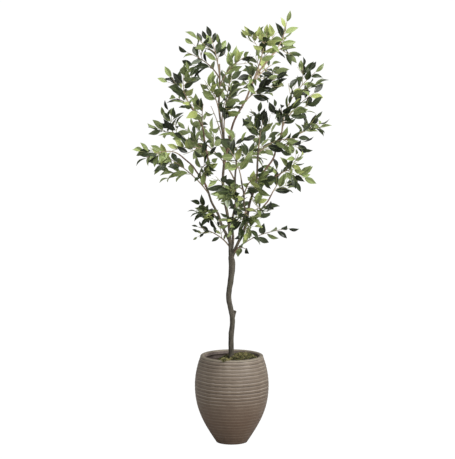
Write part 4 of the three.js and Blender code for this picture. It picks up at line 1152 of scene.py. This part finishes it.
def mossMesh(name):
    # the mound and a wisp that lies over the lip at the front
    both = bmesh.new()
    inwards, below = moss["edge"]
    for bed, riseAt in ((moss, mossRise), (moss["wisp"], wispRise)):
        outline = [(bed["radius"], bed["foot"]), (bed["radius"] * inwards, bed["foot"] - below)]
        mesh = roundBed(name, outline, bed["rings"], bed["sides"], riseAt)
        mesh.transform(Matrix.Translation((bed["centre"][0] * mm, bed["centre"][1] * mm, 0)))
        both.from_mesh(mesh)
    both.to_mesh(mesh)
    both.free()
    mesh.shade_smooth()
    return mesh


mossMound = placed("mossMound", mossMesh("mossMound"))
mossMound.data.materials.append(mossFinish("mattedMoss", "#231f10", "#48432a"))
finished(mossMound, "moss", "moss")
mossTones = [mossFinish("brownMoss", "#2c2416", "#4d422b"), mossFinish("greenMoss", "#3c4121", "#60683a"),
             mossFinish("oliveMoss", "#4f4b2d", "#7d764c"), mossFinish("yellowMoss", "#726c42", "#a29a69")]
mossTufts = grown("mossTufts", mossMesh("mossTufts"), mossTree(mossTones), {
    "Density": moss["density"], "Least": moss["tuftScale"][0], "Most": moss["tuftScale"][1]})
finished(mossTufts, "moss", "moss")

# Camera at the photograph's viewing angle, pale floor and soft light from the front
view = {"place": (-0.021, -16, 3.5), "pitch": 81.33, "lens": 259.4, "sensor": 36, "far": 200,
        "sky": 0.36, "floor": 90}
camera = bpy.data.objects.new("camera", bpy.data.cameras.new("camera"))
camera.location, camera.rotation_euler = view["place"], (math.radians(view["pitch"]), 0, 0)
camera.data.lens, camera.data.sensor_width, camera.data.clip_end = view["lens"], view["sensor"], view["far"]
scene.collection.objects.link(camera)
scene.camera = camera
scene.view_settings.view_transform = "Standard"


def paleFloor():
    # a seamless white sweep that is lit to white, with a trace of shade under the planter
    material = bpy.data.materials.new("whiteSweep")
    material.use_nodes = True
    tree = material.node_tree
    tree.nodes.clear()
    matt = addNode(tree, "ShaderNodeBsdfDiffuse", {"Color": linearColour("#dcdcda")})
    glow = addNode(tree, "ShaderNodeEmission", {"Color": (1, 1, 1, 1), "Strength": 1.06})
    seen = addNode(tree, "ShaderNodeLightPath").outputs["Is Camera Ray"]
    share = maths(tree, "MULTIPLY", seen, 0.95)
    sweep = addNode(tree, "ShaderNodeMixShader", {0: share, 1: matt.outputs[0], 2: glow.outputs[0]})
    addNode(tree, "ShaderNodeOutputMaterial", {"Surface": sweep.outputs[0]})
    return material


corners = [(x * view["floor"], y * view["floor"], 0) for x, y in ((-1, -1), (1, -1), (1, 1), (-1, 1))]
floor = placed("floor", newMesh("floor", corners, [(0, 1, 2, 3)]))
floor.data.materials.append(paleFloor())

world = bpy.data.worlds.new("studio")
world.use_nodes = True
sky = world.node_tree.nodes["Background"].inputs
sky["Color"].default_value, sky["Strength"].default_value = (1, 1, 1, 1), view["sky"]
scene.world = world
lights = {  # place, aim, size and power
    "softKey": ((3.7, -3.3, 3.1), (0, 0, 1.0), 2.4, 320),
    "softFill": ((-1.8, -4.6, 2.6), (0, 0, 1.3), 2.4, 40),
    "topLight": ((0.2, -0.4, 5.0), (0, 0, 1.2), 2.2, 120),
}
for name, (place, aim, size, power) in lights.items():
    lamp = bpy.data.objects.new(name, bpy.data.lights.new(name, "AREA"))
    lamp.location = place
    lamp.rotation_euler = (Vector(aim) - Vector(place)).to_track_quat("-Z", "Y").to_euler()
    lamp.data.shape, lamp.data.size, lamp.data.energy = "DISK", size, power
    scene.collection.objects.link(lamp)
print("camera, floor and lights set")
